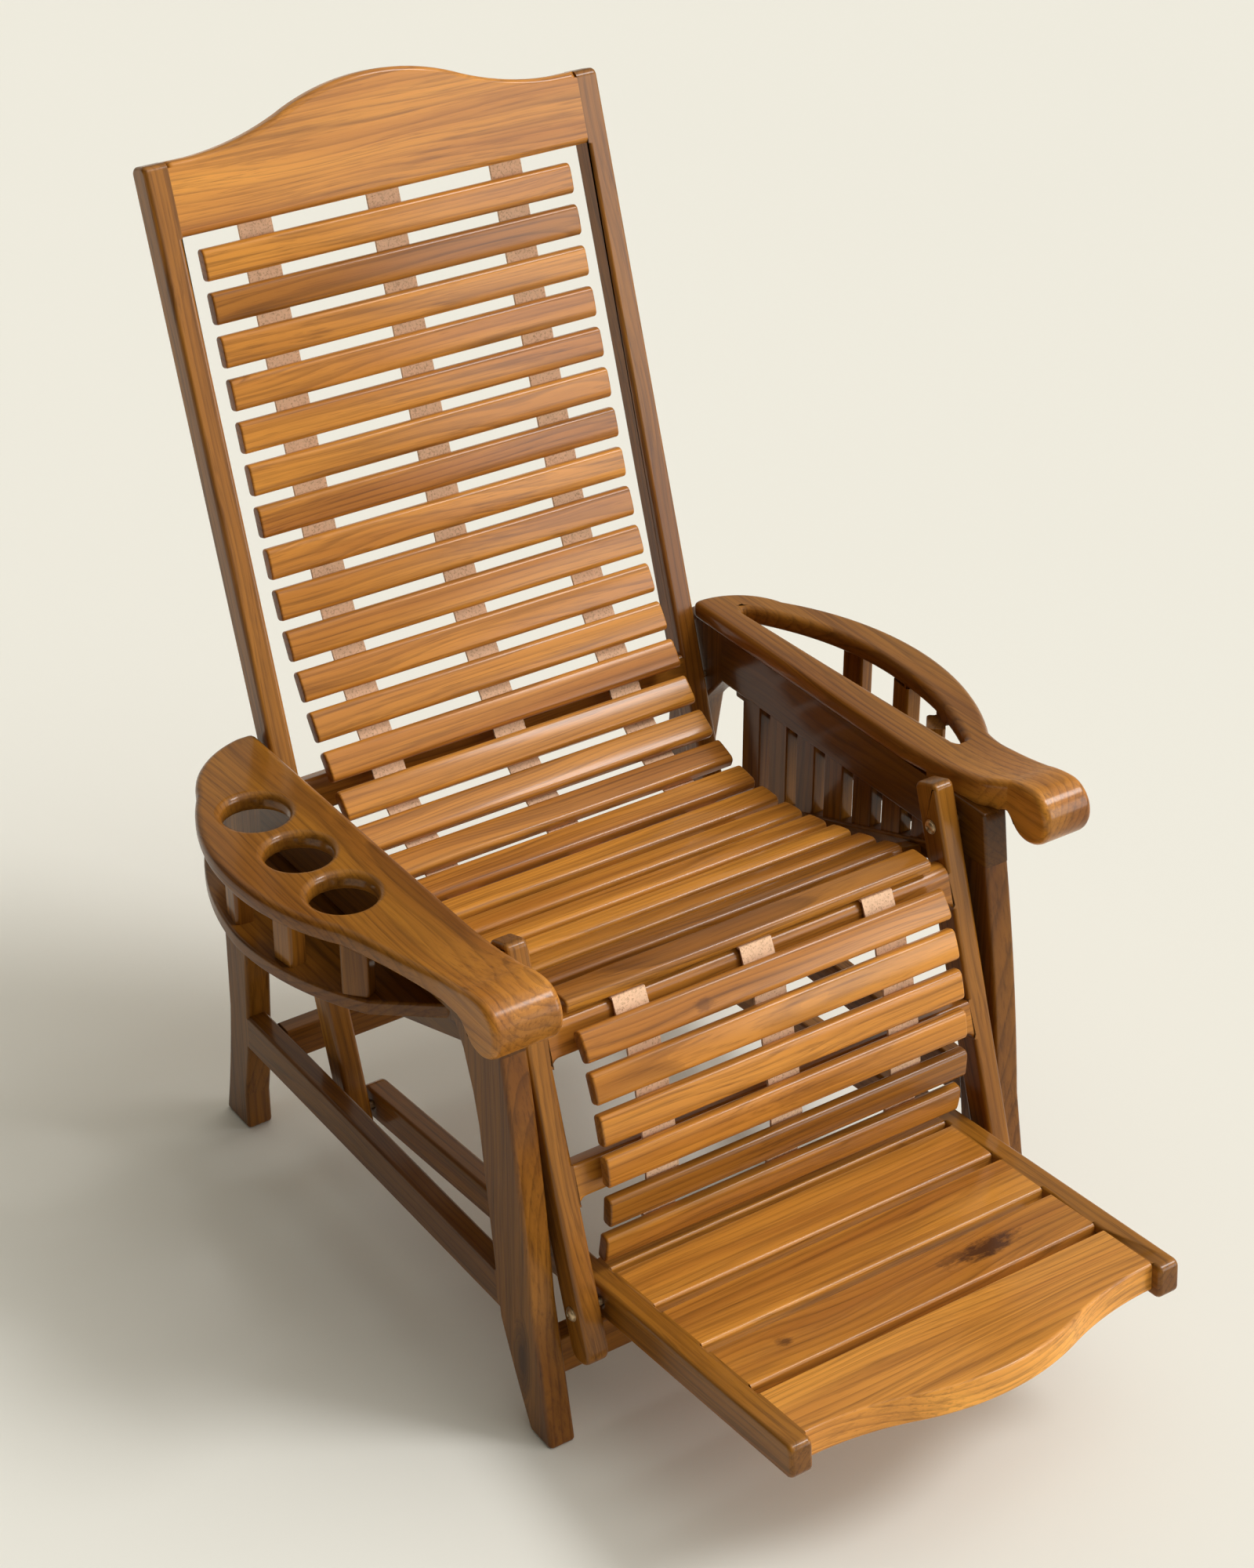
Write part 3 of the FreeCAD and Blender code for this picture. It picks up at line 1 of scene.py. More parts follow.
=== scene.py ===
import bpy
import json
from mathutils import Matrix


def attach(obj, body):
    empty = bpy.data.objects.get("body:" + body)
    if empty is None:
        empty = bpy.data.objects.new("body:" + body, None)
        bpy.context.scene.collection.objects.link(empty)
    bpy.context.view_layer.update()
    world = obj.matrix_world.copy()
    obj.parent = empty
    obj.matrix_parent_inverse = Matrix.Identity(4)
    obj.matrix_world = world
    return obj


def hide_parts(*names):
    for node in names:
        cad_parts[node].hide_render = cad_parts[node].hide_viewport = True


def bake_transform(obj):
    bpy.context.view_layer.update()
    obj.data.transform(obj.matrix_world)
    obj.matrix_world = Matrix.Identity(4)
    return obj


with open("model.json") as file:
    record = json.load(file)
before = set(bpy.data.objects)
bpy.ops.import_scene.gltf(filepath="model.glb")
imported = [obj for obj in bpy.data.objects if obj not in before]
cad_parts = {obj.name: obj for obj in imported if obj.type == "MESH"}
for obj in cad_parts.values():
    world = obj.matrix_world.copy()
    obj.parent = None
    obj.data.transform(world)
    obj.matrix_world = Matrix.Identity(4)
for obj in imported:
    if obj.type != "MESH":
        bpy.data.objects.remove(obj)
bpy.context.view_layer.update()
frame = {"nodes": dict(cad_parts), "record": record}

import json
import math
from typing import NamedTuple

import bmesh
import bpy
import numpy as np
from bpy.props import FloatProperty, FloatVectorProperty, IntProperty, PointerProperty
from mathutils import Vector
from mathutils.bvhtree import BVHTree

bl_info = {
    "name": "Planters Chair",
    "version": (1, 0, 0),
    "blender": (4, 5, 0),
    "location": "View3D > Sidebar > Chair",
    "description": "Dresses the frame of a reclining planters chair in polished teak",
    "category": "Object",
}

# Which way the grain runs in each piece, as a share of +X, +Y and +Z.
LEAN = math.radians(18.6)
ACROSS = (1.0, 0.0, 0.0)
ALONG = (0.0, 1.0, 0.0)
UPRIGHT = (0.0, 0.0, 1.0)
LEANING = (0.0, math.sin(LEAN), math.cos(LEAN))
SLOPING = (0.0, 1.0, -0.09)
SIDES = ("right", "left")

# How pale the wood is, from 0 for nearly black to 1 for the palest. A pair is the range of a kind of piece.
# The legs, stretchers and side rails are darker than their wood alone: painted shade for their faces turned
# away from the key light, deepest on the side rails, which lie in the shade under the armrests.
LEG_TONES_AND_SHADE = (0.20, 0.27)
STRETCHER_TONES_AND_SHADE = (0.16, 0.22)
SIDE_RAIL_TONES_AND_SHADE = (0.07, 0.14)
SIDE_SLAT_TONES = (0.12, 0.26)
CROSS_RAIL_TONES = (0.20, 0.30)
ARMREST_TONES = (0.27, 0.31)
SHELF_TONES = (0.20, 0.26)
SPINDLE_TONES = (0.22, 0.34)
BACK_STILE_TONES = (0.29, 0.35)
CREST_TONES = (0.58, 0.60)
BACK_RAIL_TONES = (0.30, 0.35)
CALF_STILE_TONES = (0.26, 0.34)
CALF_RAIL_TONES = (0.40, 0.50)
FOOTREST_RAIL_TONES = (0.24, 0.32)
BOARD_TONES = (0.50, 0.64)
FRONT_BOARD_TONES = (0.86, 0.90)
# A longer row gives the tone of each slat of the mat, from the top down.
BACK_TONES = (0.58, 0.42, 0.57, 0.62, 0.59, 0.54, 0.50, 0.62, 0.50, 0.54, 0.60, 0.60, 0.63)
SEAT_TONES = (0.58, 0.36, 0.46, 0.56, 0.60, 0.54, 0.58, 0.52, 0.60, 0.55)
CALF_TONES = (0.40, 0.52, 0.60, 0.62, 0.60, 0.34, 0.42)
# A painted highlight on the rolled front end of an armrest, made as paler wood: from where in Y, over what
# length and by how much.
NOSE_HIGHLIGHT_START = -0.12
NOSE_HIGHLIGHT_RUN = 0.22
NOSE_HIGHLIGHT_LIFT = 0.24

# The range in which the pith of each piece lies, along the grain and to its side and below it.
PITH_ALONG = (-5, 5)
PITH_ASIDE = (0.02, 0.11)
PITH_BELOW = (0.02, 0.09)
# The way that the faces of pieces across the chair look, and the share of X past which a piece lies across.
FACE_UP = (0.0, 0.36, 0.93)
LIES_ACROSS = 0.9
# How squarely a face cuts the grain where end grain starts to show, and how much more until it shows fully.
END_START = 0.7
END_RUN = 0.25

# Where two CAD points are one, where two faces are one flat face, and where an edge is sharp.
WELD = 2e-5
FLAT = math.radians(0.6)
SHARP = math.radians(32)
# Joints: how near another piece touches an edge, how far in the rounding runs out, and where this is tested.
JOINT_REACH = 0.0004
JOINT_RUN_OUT = 0.001
JOINT_TEST_STEP = 0.003
JOINT_LEAST_TESTS = 3
# How much more the large faces of a piece count than its roundings in the shading, out of 100.
LARGE_FACE_WEIGHT = 80

# A slat of the mat: the roundings of its edges and ends, the crown of its face and the facets of a rounding.
SLAT_FRONT_EDGE = 0.0056
SLAT_BACK_EDGE = 0.0045
SLAT_END_EDGE = 0.0024
SLAT_CROWN = 0.0009
EDGE_STEPS = 6
# Where points stand across a slat's flat faces, as shares of their width, and the way towards the sitter.
FLAT_SHARES = (0.25, 0.5, 0.75)
SITTER = (-0.6, 0.8)

# Where the straps pass from one body to the next: each strap's end in Y and Z, and the way into that strap.
STRAP_JOINS = (
    ("back_strap_bends", "back",
     ((0.20568, 0.45840), (0.623, 0.782)),
     ((0.20393, 0.45471), (-0.697, -0.717))),
    ("calf_strap_bends", "calf",
     ((-0.20834, 0.43396), (-1.0, 0.0)),
     ((-0.20530, 0.43033), (0.955, -0.296))),
)
STRAP_SPANS = ((-0.169, -0.131), (-0.019, 0.019), (0.131, 0.169))
STRAP_TUCK = 0.006
STRAP_TUCK_SHARES = (1.0, 0.5)
STRAP_BEND_HALF = 0.0012
STRAP_BEND_STEPS = 8

# A bolt: the dome's rim and height as shares of the head's, the socket's radius as a share of the rim's,
# and its floor's as a share of that.
HEAD_SHARE = 0.86
DOME_SHARE = 0.76
SOCKET_SHARE = 0.34
SOCKET_FLOOR_SHARE = 0.8
SOCKET_DEPTH = 0.0016
WASHER_EASE = 0.0003
DOME_STEPS = 8
BOLT_FACETS = 40
# A bolt's points past this share of the shank's radius belong to its head.
HEAD_FROM_SHARE = 1.5

# Lamps: where the white glow stands and how wide it is, the spread round the key light, and the darker side.
GLOW_TOWARD = (0.696, -0.696, 0.174)
GLOW_INNER = math.radians(11)
GLOW_OUTER = math.radians(22)
SPREAD_INNER = math.radians(14)
SPREAD_OUTER = math.radians(46)
DARK_TOWARD = (-1.0, 0.0, -0.15)
DARK_START = -0.1
DARK_FULL = 0.7
DARK_SHARE = 0.08
# The stage: half the floor's side, the picture's long side in millimetres and how far the camera sees.
FLOOR_HALF = 40.0
SENSOR_WIDTH = 36
SIGHT = 60


class ChairTeak(bpy.types.PropertyGroup):
    """Colours and gloss of the polished wood."""

    light: FloatVectorProperty(
        name="Light wood", description="Colour between the grain lines", subtype="COLOR",
        default=(0.75, 0.322, 0.053), min=0, max=1)
    middle: FloatVectorProperty(
        name="Middle wood", description="Colour of the broad streaks", subtype="COLOR",
        default=(0.46, 0.168, 0.028), min=0, max=1)
    dark: FloatVectorProperty(
        name="Dark wood", description="Colour of the grain lines", subtype="COLOR",
        default=(0.080, 0.025, 0.007), min=0, max=1)
    ring_gap: FloatProperty(
        name="Ring gap", description="Distance between growth rings", subtype="DISTANCE", default=0.0075)
    gloss: FloatProperty(
        name="Polish roughness", description="Roughness of the varnish", default=0.16, min=0, max=1)


class ChairFittings(bpy.types.PropertyGroup):
    """Colours of the straps and bolts."""

    strap: FloatVectorProperty(
        name="Strap", description="Colour of the straps", subtype="COLOR",
        default=(0.80, 0.53, 0.34), min=0, max=1)
    strap_speck: FloatVectorProperty(
        name="Strap speck", description="Colour of the specks in the straps", subtype="COLOR",
        default=(0.40, 0.21, 0.11), min=0, max=1)
    steel: FloatVectorProperty(
        name="Bolt steel", description="Colour of the pivot bolts", subtype="COLOR",
        default=(0.40, 0.30, 0.18), min=0, max=1)


class ChairEdges(bpy.types.PropertyGroup):
    """How far the edges of the pieces are rounded over."""

    arm: FloatProperty(
        name="Armrest", description="Rounding of the armrests", subtype="DISTANCE", default=0.008)
    crest: FloatProperty(
        name="Crest", description="Rounding of the crest rail", subtype="DISTANCE", default=0.0065)
    frame: FloatProperty(
        name="Frame", description="Rounding of legs and stiles", subtype="DISTANCE", default=0.0045)
    rail: FloatProperty(
        name="Rail", description="Rounding of rails, shelves and the front board", subtype="DISTANCE",
        default=0.0035)
    slat: FloatProperty(
        name="Side slat", description="Rounding of the side slats and the seat bearers", subtype="DISTANCE",
        default=0.0016)
    eased: FloatProperty(
        name="Eased edge", description="Softening of edges that are already eased", subtype="DISTANCE",
        default=0.0011)
    steps: IntProperty(
        name="Steps", description="Facets across a rounded edge", default=4, min=1, max=8)


class ChairStage(bpy.types.PropertyGroup):
    """Camera, floor and lamps."""

    eye: FloatVectorProperty(
        name="Camera", description="Place of the camera", subtype="TRANSLATION",
        default=(-1.5538, -2.3200, 2.2000))
    tilt: FloatProperty(
        name="Camera tilt", description="Turn of the camera up from straight down", subtype="ANGLE",
        default=math.radians(58.55))
    turn: FloatProperty(
        name="Camera turn", description="Turn of the camera about the upright", subtype="ANGLE",
        default=math.radians(-34.05))
    lens: FloatProperty(
        name="Lens", description="Focal length on a 36 mm long side", default=73.44)
    floor: FloatVectorProperty(
        name="Floor", description="Colour of the floor", subtype="COLOR",
        default=(0.842, 0.834, 0.777), min=0, max=1)
    key: FloatProperty(
        name="Key light", description="Strength of the key light", default=1.12)
    key_height: FloatProperty(
        name="Key height", description="Angle of the key light above the floor", subtype="ANGLE",
        default=math.radians(50))
    key_turn: FloatProperty(
        name="Key direction", description="Where the key light stands, turned from +X", subtype="ANGLE",
        default=math.radians(-34))
    key_softness: FloatProperty(
        name="Key softness", description="Width of the key light as seen from the chair", subtype="ANGLE",
        default=math.radians(17))
    sky: FloatProperty(
        name="Sky", description="Strength of the surrounding light", default=0.58)
    sky_colour: FloatVectorProperty(
        name="Sky colour", description="Colour of the surrounding light", subtype="COLOR",
        default=(1.0, 0.94, 0.80), min=0, max=1)
    spread: FloatProperty(
        name="Spread", description="Strength of the broad light round the key light", default=1.3)
    glow: FloatProperty(
        name="Glow", description="Strength of the broad light low in front on the right", default=5.6)


GROUPS = {
    "chair_teak": ChairTeak,
    "chair_fittings": ChairFittings,
    "chair_edges": ChairEdges,
    "chair_stage": ChairStage,
}


def settings(name):
    return getattr(bpy.context.scene, name)


# Materials


class Cloud(NamedTuple):
    """A noise in a material: how often it repeats per metre in each of three ways, how finely it is worked,
    how rough it is and how far it is moved."""

    scale: tuple
    detail: float
    rough: float = 0.55
    place: tuple = (0, 0, 0)


class Nodes:
    """A small helper that adds and links shader nodes of one material."""

    def __init__(self, name):
        self.material = bpy.data.materials.new(name)
        self.material.use_nodes = True
        self.tree = self.material.node_tree
        self.shader = self.tree.nodes["Principled BSDF"]

    def add(self, kind, **values):
        node = self.tree.nodes.new(kind)
        for key, value in values.items():
            setattr(node, key, value)
        return node

    def link(self, out, into):
        self.tree.links.new(out, into)

    def give(self, socket, value):
        """Links a socket to another or sets it to a number, a vector or a colour."""
        if isinstance(value, bpy.types.NodeSocket):
            self.link(value, socket)
        else:
            socket.default_value = value

    def set(self, node, **values):
        """Gives the inputs whose names are written with underscores."""
        for key, value in values.items():
            self.give(node.inputs[key.replace("_", " ")], value)

    def math(self, operation, *values):
        node = self.add("ShaderNodeMath", operation=operation)
        for socket, value in zip(node.inputs, values):
            self.give(socket, value)
        return node.outputs[0]

    def push(self, vector, amount, way):
        """The vector moved by the amount times the given way."""
        node = self.add("ShaderNodeVectorMath", operation="MULTIPLY_ADD")
        for socket, value in zip(node.inputs, (amount, way, vector)):
            self.give(socket, value)
        return node.outputs["Vector"]

    def stretch(self, vector, scale, place=(0, 0, 0)):
        node = self.add("ShaderNodeMapping")
        self.set(node, Vector=vector, Location=place, Scale=scale)
        return node.outputs["Vector"]

    def noise(self, vector, cloud):
        node = self.add("ShaderNodeTexNoise")
        place = self.stretch(vector, cloud.scale, cloud.place)
        self.set(node, Vector=place, Scale=1, Detail=cloud.detail, Roughness=cloud.rough)
        return node.outputs["Fac"]

    def ramp(self, value, stops):
        node = self.add("ShaderNodeValToRGB")
        band = node.color_ramp
        while len(band.elements) < len(stops):
            band.elements.new(0.5)
        for element, (place, colour) in zip(band.elements, stops):
            element.position = place
            element.color = (*colour, 1)
        self.set(node, Fac=value)
        return node.outputs["Color"]

    def level(self, value, low, high, out_low=0.0, out_high=1.0):
        """Goes evenly from out_low to out_high while the value goes from low to high."""
        node = self.add("ShaderNodeMapRange")
        self.set(node, Value=value, From_Min=low, From_Max=high, To_Min=out_low, To_Max=out_high)
        return node.outputs["Result"]

    def mix(self, share, first, second, blend="MIX"):
        node = self.add("ShaderNodeMix", data_type="RGBA", blend_type=blend)
        for name, value in (("Factor", share), ("A", first), ("B", second)):
            socket = [s for s in node.inputs if s.name == name and s.enabled][0]
            self.give(socket, (*value, 1) if isinstance(value, tuple) else value)
        return [s for s in node.outputs if s.enabled][0]

    def bump(self, height, strength, distance):
        node = self.add("ShaderNodeBump")
        self.set(node, Height=height, Strength=strength, Distance=distance)
        self.link(node.outputs["Normal"], self.shader.inputs["Normal"])

    def attribute(self, name, output="Fac"):
        return self.add("ShaderNodeAttribute", attribute_name=name).outputs[output]

    def object_place(self):
        return self.add("ShaderNodeTexCoord").outputs["Object"]


# The clouds of the teak repeat along, to the side of and below the grain, in this order.
SWAY = Cloud((1.7, 9, 9), 2, 0.5)
BROAD = Cloud((1.5, 21, 21), 3, 0.5, (4, 1, 7))
STREAK = Cloud((3.2, 120, 120), 6, 0.6)
FINE = Cloud((5.5, 330, 330), 3, 0.6, (2, 5, 1))
PORE = Cloud((26, 900, 900), 2, 0.6)
SWAY_PUSH = (0.0, 0.055, 0.05)
# Each of these holds two values of a cloud or of the rings, and how much of the layer shows at them.
BROAD_SHOWS = (0.32, 0.68, 0.0, 1.0)
STREAK_SHOWS = (0.48, 0.78, 0.0, 0.56)
FINE_SHOWS = (0.52, 0.70, 0.0, 0.40)
PORE_SHOWS = (0.60, 0.80, 0.0, 0.45)
RING_SHOWS = (0.0, 1.0, 0.0, 0.44)
RING_FADES = (0.25, 0.7, 0.5, 1.0)
# Growth rings: the wave texture's turns per unit, its waviness and stretch, and its greys from ring to ring.
WAVE_TURNS = 20
RING_WARP = 1.3
RING_DETAIL = 2.5
RING_DETAIL_SCALE = 0.35
RING_STRETCH = (0.035, 1, 1)
RING_GREYS = ((0.0, 0.0), (0.62, 0.18), (0.93, 1.0), (1.0, 0.3))
# Small knots: the cells per metre along, beside and below the grain. Only a few cells, whose drawn number
# is high, have a knot.
SMALL_KNOT_CELLS = (3.4, 11, 11)
SMALL_KNOT_DRAW = 7.3
SMALL_KNOT_CHOSEN = (0.80, 0.82)
SMALL_KNOT_SHOWS = (0.05, 0.20, 1.0, 0.0)
SMALL_KNOT_PUSH = (0.0, 0.020, 0.016)
SMALL_KNOT_DARK = 0.8
# Where the dark knots lie, their half lengths across and along the chair, and how strong they are.
KNOTS = (
    ((0.100, -0.501, 0.180), (0.040, 0.0130), 0.95),
    ((0.066, -0.494, 0.180), (0.022, 0.0065), 0.55),
    ((-0.145, -0.500, 0.180), (0.011, 0.0060), 0.75),
    ((-0.082, -0.276, 0.412), (0.012, 0.0070), 0.50),
)
# How ragged their outline is, and the shares of their size between which it fades.
RAGGED = Cloud((60, 130, 130), 4, 0.65)
RAGGED_MIDDLE = 0.5
RAGGED_PUSH = 2.2
KNOT_FADE = (0.55, 1.15)
# How dark end grain is, and the tint of each tone.
END_DARK = 0.45
TONE_TINTS = (
    (0.0, (0.13, 0.11, 0.07)),
    (0.25, (0.37, 0.34, 0.22)),
    (0.5, (0.82, 0.79, 0.66)),
    (0.7, (1.0, 1.0, 0.93)),
    (1.0, (1.22, 1.30, 1.34)),
)
# The polish: how much rougher the wood is under the varnish, at two values of the pores, and its relief.
UNDER_RUN = (0.4, 0.8)
UNDER_ROUGHER = (0.20, 0.34)
VARNISH = 0.5
WOOD_SHINE = 0.06
PORE_RELIEF = 0.5
STREAK_RELIEF = 0.8
RELIEF_STRENGTH = 0.10
RELIEF_DEPTH = 0.0006


def growth_rings(wood, bent, ring_gap):
    """Thin lines about the pith, 0 between them and 1 on them: a saw wave of the distance from the pith."""
    rings = wood.add("ShaderNodeTexWave", wave_type="RINGS", rings_direction="X", wave_profile="SAW")
    wood.set(rings, Vector=wood.stretch(bent, RING_STRETCH), Scale=math.tau / (WAVE_TURNS * ring_gap),
             Distortion=RING_WARP, Detail=RING_DETAIL, Detail_Scale=RING_DETAIL_SCALE)
    return wood.ramp(rings.outputs["Fac"], [(place, (grey, grey, grey)) for place, grey in RING_GREYS])


def small_knots(wood, grain):
    """Small knots here and there, from 0 beside them to 1 at their middle."""
    cell = wood.add("ShaderNodeTexVoronoi")
    wood.set(cell, Vector=wood.stretch(grain, SMALL_KNOT_CELLS), Scale=1)
    draw = wood.math("FRACT", wood.math("MULTIPLY", cell.outputs["Color"], SMALL_KNOT_DRAW))
    near = wood.level(cell.outputs["Distance"], *SMALL_KNOT_SHOWS)
    return wood.math("MULTIPLY", near, wood.level(draw, *SMALL_KNOT_CHOSEN))


def large_knots(wood, colour, dark):
    """The large knots in their places over the colour: ellipsoids with a ragged, faded outline."""
    place = wood.object_place()
    ragged = wood.noise(place, RAGGED)
    for centre, (across, along), strength in KNOTS:
        scale = (1 / across, 1 / along, 1 / along)
        away = wood.add("ShaderNodeVectorMath", operation="LENGTH")
        moved = wood.stretch(place, scale, tuple(-c * s for c, s in zip(centre, scale)))
        wood.link(moved, away.inputs[0])
        raised = wood.math("MULTIPLY", wood.math("SUBTRACT", ragged, RAGGED_MIDDLE), RAGGED_PUSH)
        edge = wood.math("ADD", away.outputs["Value"], raised)
        colour = wood.mix(wood.level(edge, *KNOT_FADE, strength, 0.0), colour, dark)
    return colour


def teak():
    """Polished teak: rings about a pith beside the piece, broad streaks, fine dark pores and a varnish."""
    look = settings("chair_teak")
    wood = Nodes("polished_teak")
    dark = look.dark[:]
    grain = wood.attribute("grain", "Vector")
    knot = small_knots(wood, grain)
    bent = wood.push(wood.push(grain, wood.noise(grain, SWAY), SWAY_PUSH), knot, SMALL_KNOT_PUSH)
    broad = wood.noise(bent, BROAD)
    streak = wood.noise(bent, STREAK)
    pore = wood.noise(grain, PORE)
    colour = wood.mix(wood.level(broad, *BROAD_SHOWS), look.light[:], look.middle[:])
    rings = wood.level(growth_rings(wood, bent, look.ring_gap), *RING_SHOWS)
    for share in (
            wood.math("MULTIPLY", rings, wood.level(broad, *RING_FADES)),
            wood.level(streak, *STREAK_SHOWS),
            wood.level(wood.noise(bent, FINE), *FINE_SHOWS),
            wood.level(pore, *PORE_SHOWS),
            wood.math("MULTIPLY", knot, SMALL_KNOT_DARK)):
        colour = wood.mix(share, colour, dark)
    colour = large_knots(wood, colour, dark)
    colour = wood.mix(wood.math("MULTIPLY", wood.attribute("end"), END_DARK), colour, dark)
    # The tone is the wood's own tone, with painted shade on the legs, stretchers and side rails and a
    # painted highlight on the armrests' front ends in it.
    tint = wood.ramp(wood.attribute("tone"), TONE_TINTS)
    rough = wood.level(pore, *UNDER_RUN, *(look.gloss + more for more in UNDER_ROUGHER))
    wood.set(wood.shader, Base_Color=wood.mix(1.0, colour, tint, "MULTIPLY"), Roughness=rough,
             Coat_Weight=VARNISH, Coat_Roughness=look.gloss, Specular_IOR_Level=WOOD_SHINE)
    pits = wood.math("MULTIPLY", pore, PORE_RELIEF)
    ridges = wood.math("MULTIPLY", streak, STREAK_RELIEF)
    wood.bump(wood.math("ADD", pits, ridges), RELIEF_STRENGTH, RELIEF_DEPTH)
    return wood.material


STRAP_SPECK = Cloud((420, 420, 420), 3, 0.7)
STRAP_SPECK_SHOWS = (0.5, 0.68, 0.0, 0.75)
STRAP_CLOUD = Cloud((70, 70, 70), 3)
STRAP_CLOUD_SHOWS = (0.3, 0.7, 0.0, 0.35)
STRAP_PALER = 1.35
STRAP_ROUGHNESS = 0.8
STRAP_RELIEF_STRENGTH = 0.4
STRAP_RELIEF_DEPTH = 0.0005


def strap_leather():
    """The straps: matt pinkish brown with fine darker and paler specks."""
    look = settings("chair_fittings")
    leather = Nodes("strap_leather")
    place = leather.object_place()
    speck = leather.noise(place, STRAP_SPECK)
    cloud = leather.level(leather.noise(place, STRAP_CLOUD), *STRAP_CLOUD_SHOWS)
    base = leather.mix(cloud, look.strap[:], tuple(c * STRAP_PALER for c in look.strap))
    speckled = leather.mix(leather.level(speck, *STRAP_SPECK_SHOWS), base, look.strap_speck[:])
    leather.set(leather.shader, Base_Color=speckled, Roughness=STRAP_ROUGHNESS)
    leather.bump(speck, STRAP_RELIEF_STRENGTH, STRAP_RELIEF_DEPTH)
    return leather.material


WEAR = Cloud((260, 260, 260), 4)
WEAR_SHOWS = (0.35, 0.7)
WEAR_PALER = 1.9
WEAR_ROUGHNESS = (0.3, 0.7, 0.3, 0.5)
BOLT_METAL = 0.9


def bolt_steel():
    """Dull steel of a brown tinge with faint wear."""
    look = settings("chair_fittings")
    steel = Nodes("bolt_steel")
    wear = steel.noise(steel.object_place(), WEAR)
    paler = tuple(c * WEAR_PALER for c in look.steel)
    worn = steel.mix(steel.level(wear, *WEAR_SHOWS), look.steel[:], paler)
    rough = steel.level(wear, *WEAR_ROUGHNESS)
    steel.set(steel.shader, Base_Color=worn, Metallic=BOLT_METAL, Roughness=rough)
    return steel.material


FLOOR_CLOUD = Cloud((0.8, 0.8, 0.8), 2)
FLOOR_DARKER = 0.985
FLOOR_ROUGHNESS = 0.9
FLOOR_SHINE = 0.1


def floor_finish():
    """A pale matt floor."""
    look = settings("chair_stage")
    floor = Nodes("pale_floor")
    cloud = floor.noise(floor.object_place(), FLOOR_CLOUD)
    shade = floor.mix(cloud, look.floor[:], tuple(c * FLOOR_DARKER for c in look.floor))
    floor.set(floor.shader, Base_Color=shade, Roughness=FLOOR_ROUGHNESS, Specular_IOR_Level=FLOOR_SHINE)
    return floor.material


def material(name, make):
    return bpy.data.materials.get(name) or make()


# The frame's nodes


def body_of(node):
    for name, nodes in frame["record"]["behaviour"]["bodies"].items():
        if node in nodes:
            return name
    raise RuntimeError(f"{node} is on no body")


def both(name):
    return [f"{side}_{name}" for side in SIDES]


def placed(name, mesh):
    obj = bpy.data.objects.new(name, mesh)
    bpy.context.collection.objects.link(obj)
    return obj


def stand_for(obj, node):
    """Lets a piece ride on the body of a CAD node and take its place."""
    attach(obj, body_of(node))
    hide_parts(node)
    return obj


def merged(node):
    """A copy of the node's surface whose triangles share their corners."""
    mesh = bmesh.new()
    mesh.from_mesh(frame["nodes"][node].data)
    bmesh.ops.remove_doubles(mesh, verts=mesh.verts, dist=WELD)
    return mesh


def points_and_edges(mesh):
    """The mesh's points, and the numbers of the two points of each edge."""
    points = np.empty(len(mesh.vertices) * 3)
    mesh.vertices.foreach_get("co", points)
    ends = np.empty(len(mesh.edges) * 2, dtype=int)
    mesh.edges.foreach_get("vertices", ends)
    return points.reshape(-1, 3), ends.reshape(-1, 2)


def loose_part_numbers(count, ends):
    """The number of the loose part of each point: every point takes the lowest number among its neighbours
    until nothing changes."""
    label = np.arange(count)
    while True:
        before = label.copy()
        low = np.minimum(label[ends[:, 0]], label[ends[:, 1]])
        np.minimum.at(label, ends[:, 0], low)
        np.minimum.at(label, ends[:, 1], low)
        label = label[label]
        if (label == before).all():
            return np.unique(label, return_inverse=True)[1]


def loose_parts(node):
    """The points of each closed piece of a CAD node, without repeats."""
    copy = merged(node)
    mesh = bpy.data.meshes.new(f"{node}_parts")
    copy.to_mesh(mesh)
    copy.free()
    points, ends = points_and_edges(mesh)
    bpy.data.meshes.remove(mesh)
    part = loose_part_numbers(len(points), ends)
    return [points[part == number] for number in range(part.max() + 1)]


# Wood pieces


def neighbours(node):
    """A search tree of every other piece on the same body."""
    points = []
    faces = []
    for name in frame["record"]["behaviour"]["bodies"][body_of(node)]:
        if name == node:
            continue
        mesh = frame["nodes"][name].data
        start = len(points)
        points.extend(v.co.copy() for v in mesh.vertices)
        faces.extend([start + i for i in p.vertices] for p in mesh.polygons)
    return BVHTree.FromPolygons(points, faces)


def joint_stretches(a, b, tree):
    """Whether another piece meets each of the equal stretches from a to b, and where to cut the edge for it,
    in shares of its length: at each end of a joint, and a little inside it, where the rounding runs out."""
    length = (b - a).length
    count = max(JOINT_LEAST_TESTS, int(length / JOINT_TEST_STEP))
    tests = [a.lerp(b, (i + 0.5) / count) for i in range(count)]
    touching = [tree.find_nearest(test, JOINT_REACH)[0] is not None for test in tests]
    cuts = []
    for i in range(1, count):
        if touching[i] != touching[i - 1]:
            inside = JOINT_RUN_OUT / length * (1 if touching[i] else -1)
            cuts += sorted((i / count, i / count + inside))
    return touching, cuts


def cut_edge(edge, cuts):
    """Cuts an edge at the given shares of its length and returns its parts in their order."""
    parts = [edge]
    start = edge.verts[0]
    done = 0.0
    for cut in cuts:
        near, vert = bmesh.utils.edge_split(parts[-1], start, (cut - done) / (1 - done))
        far = [e for e in vert.link_edges if e != near][0]
        parts[-1:] = [near, far]
        start = vert
        done = cut
    return parts


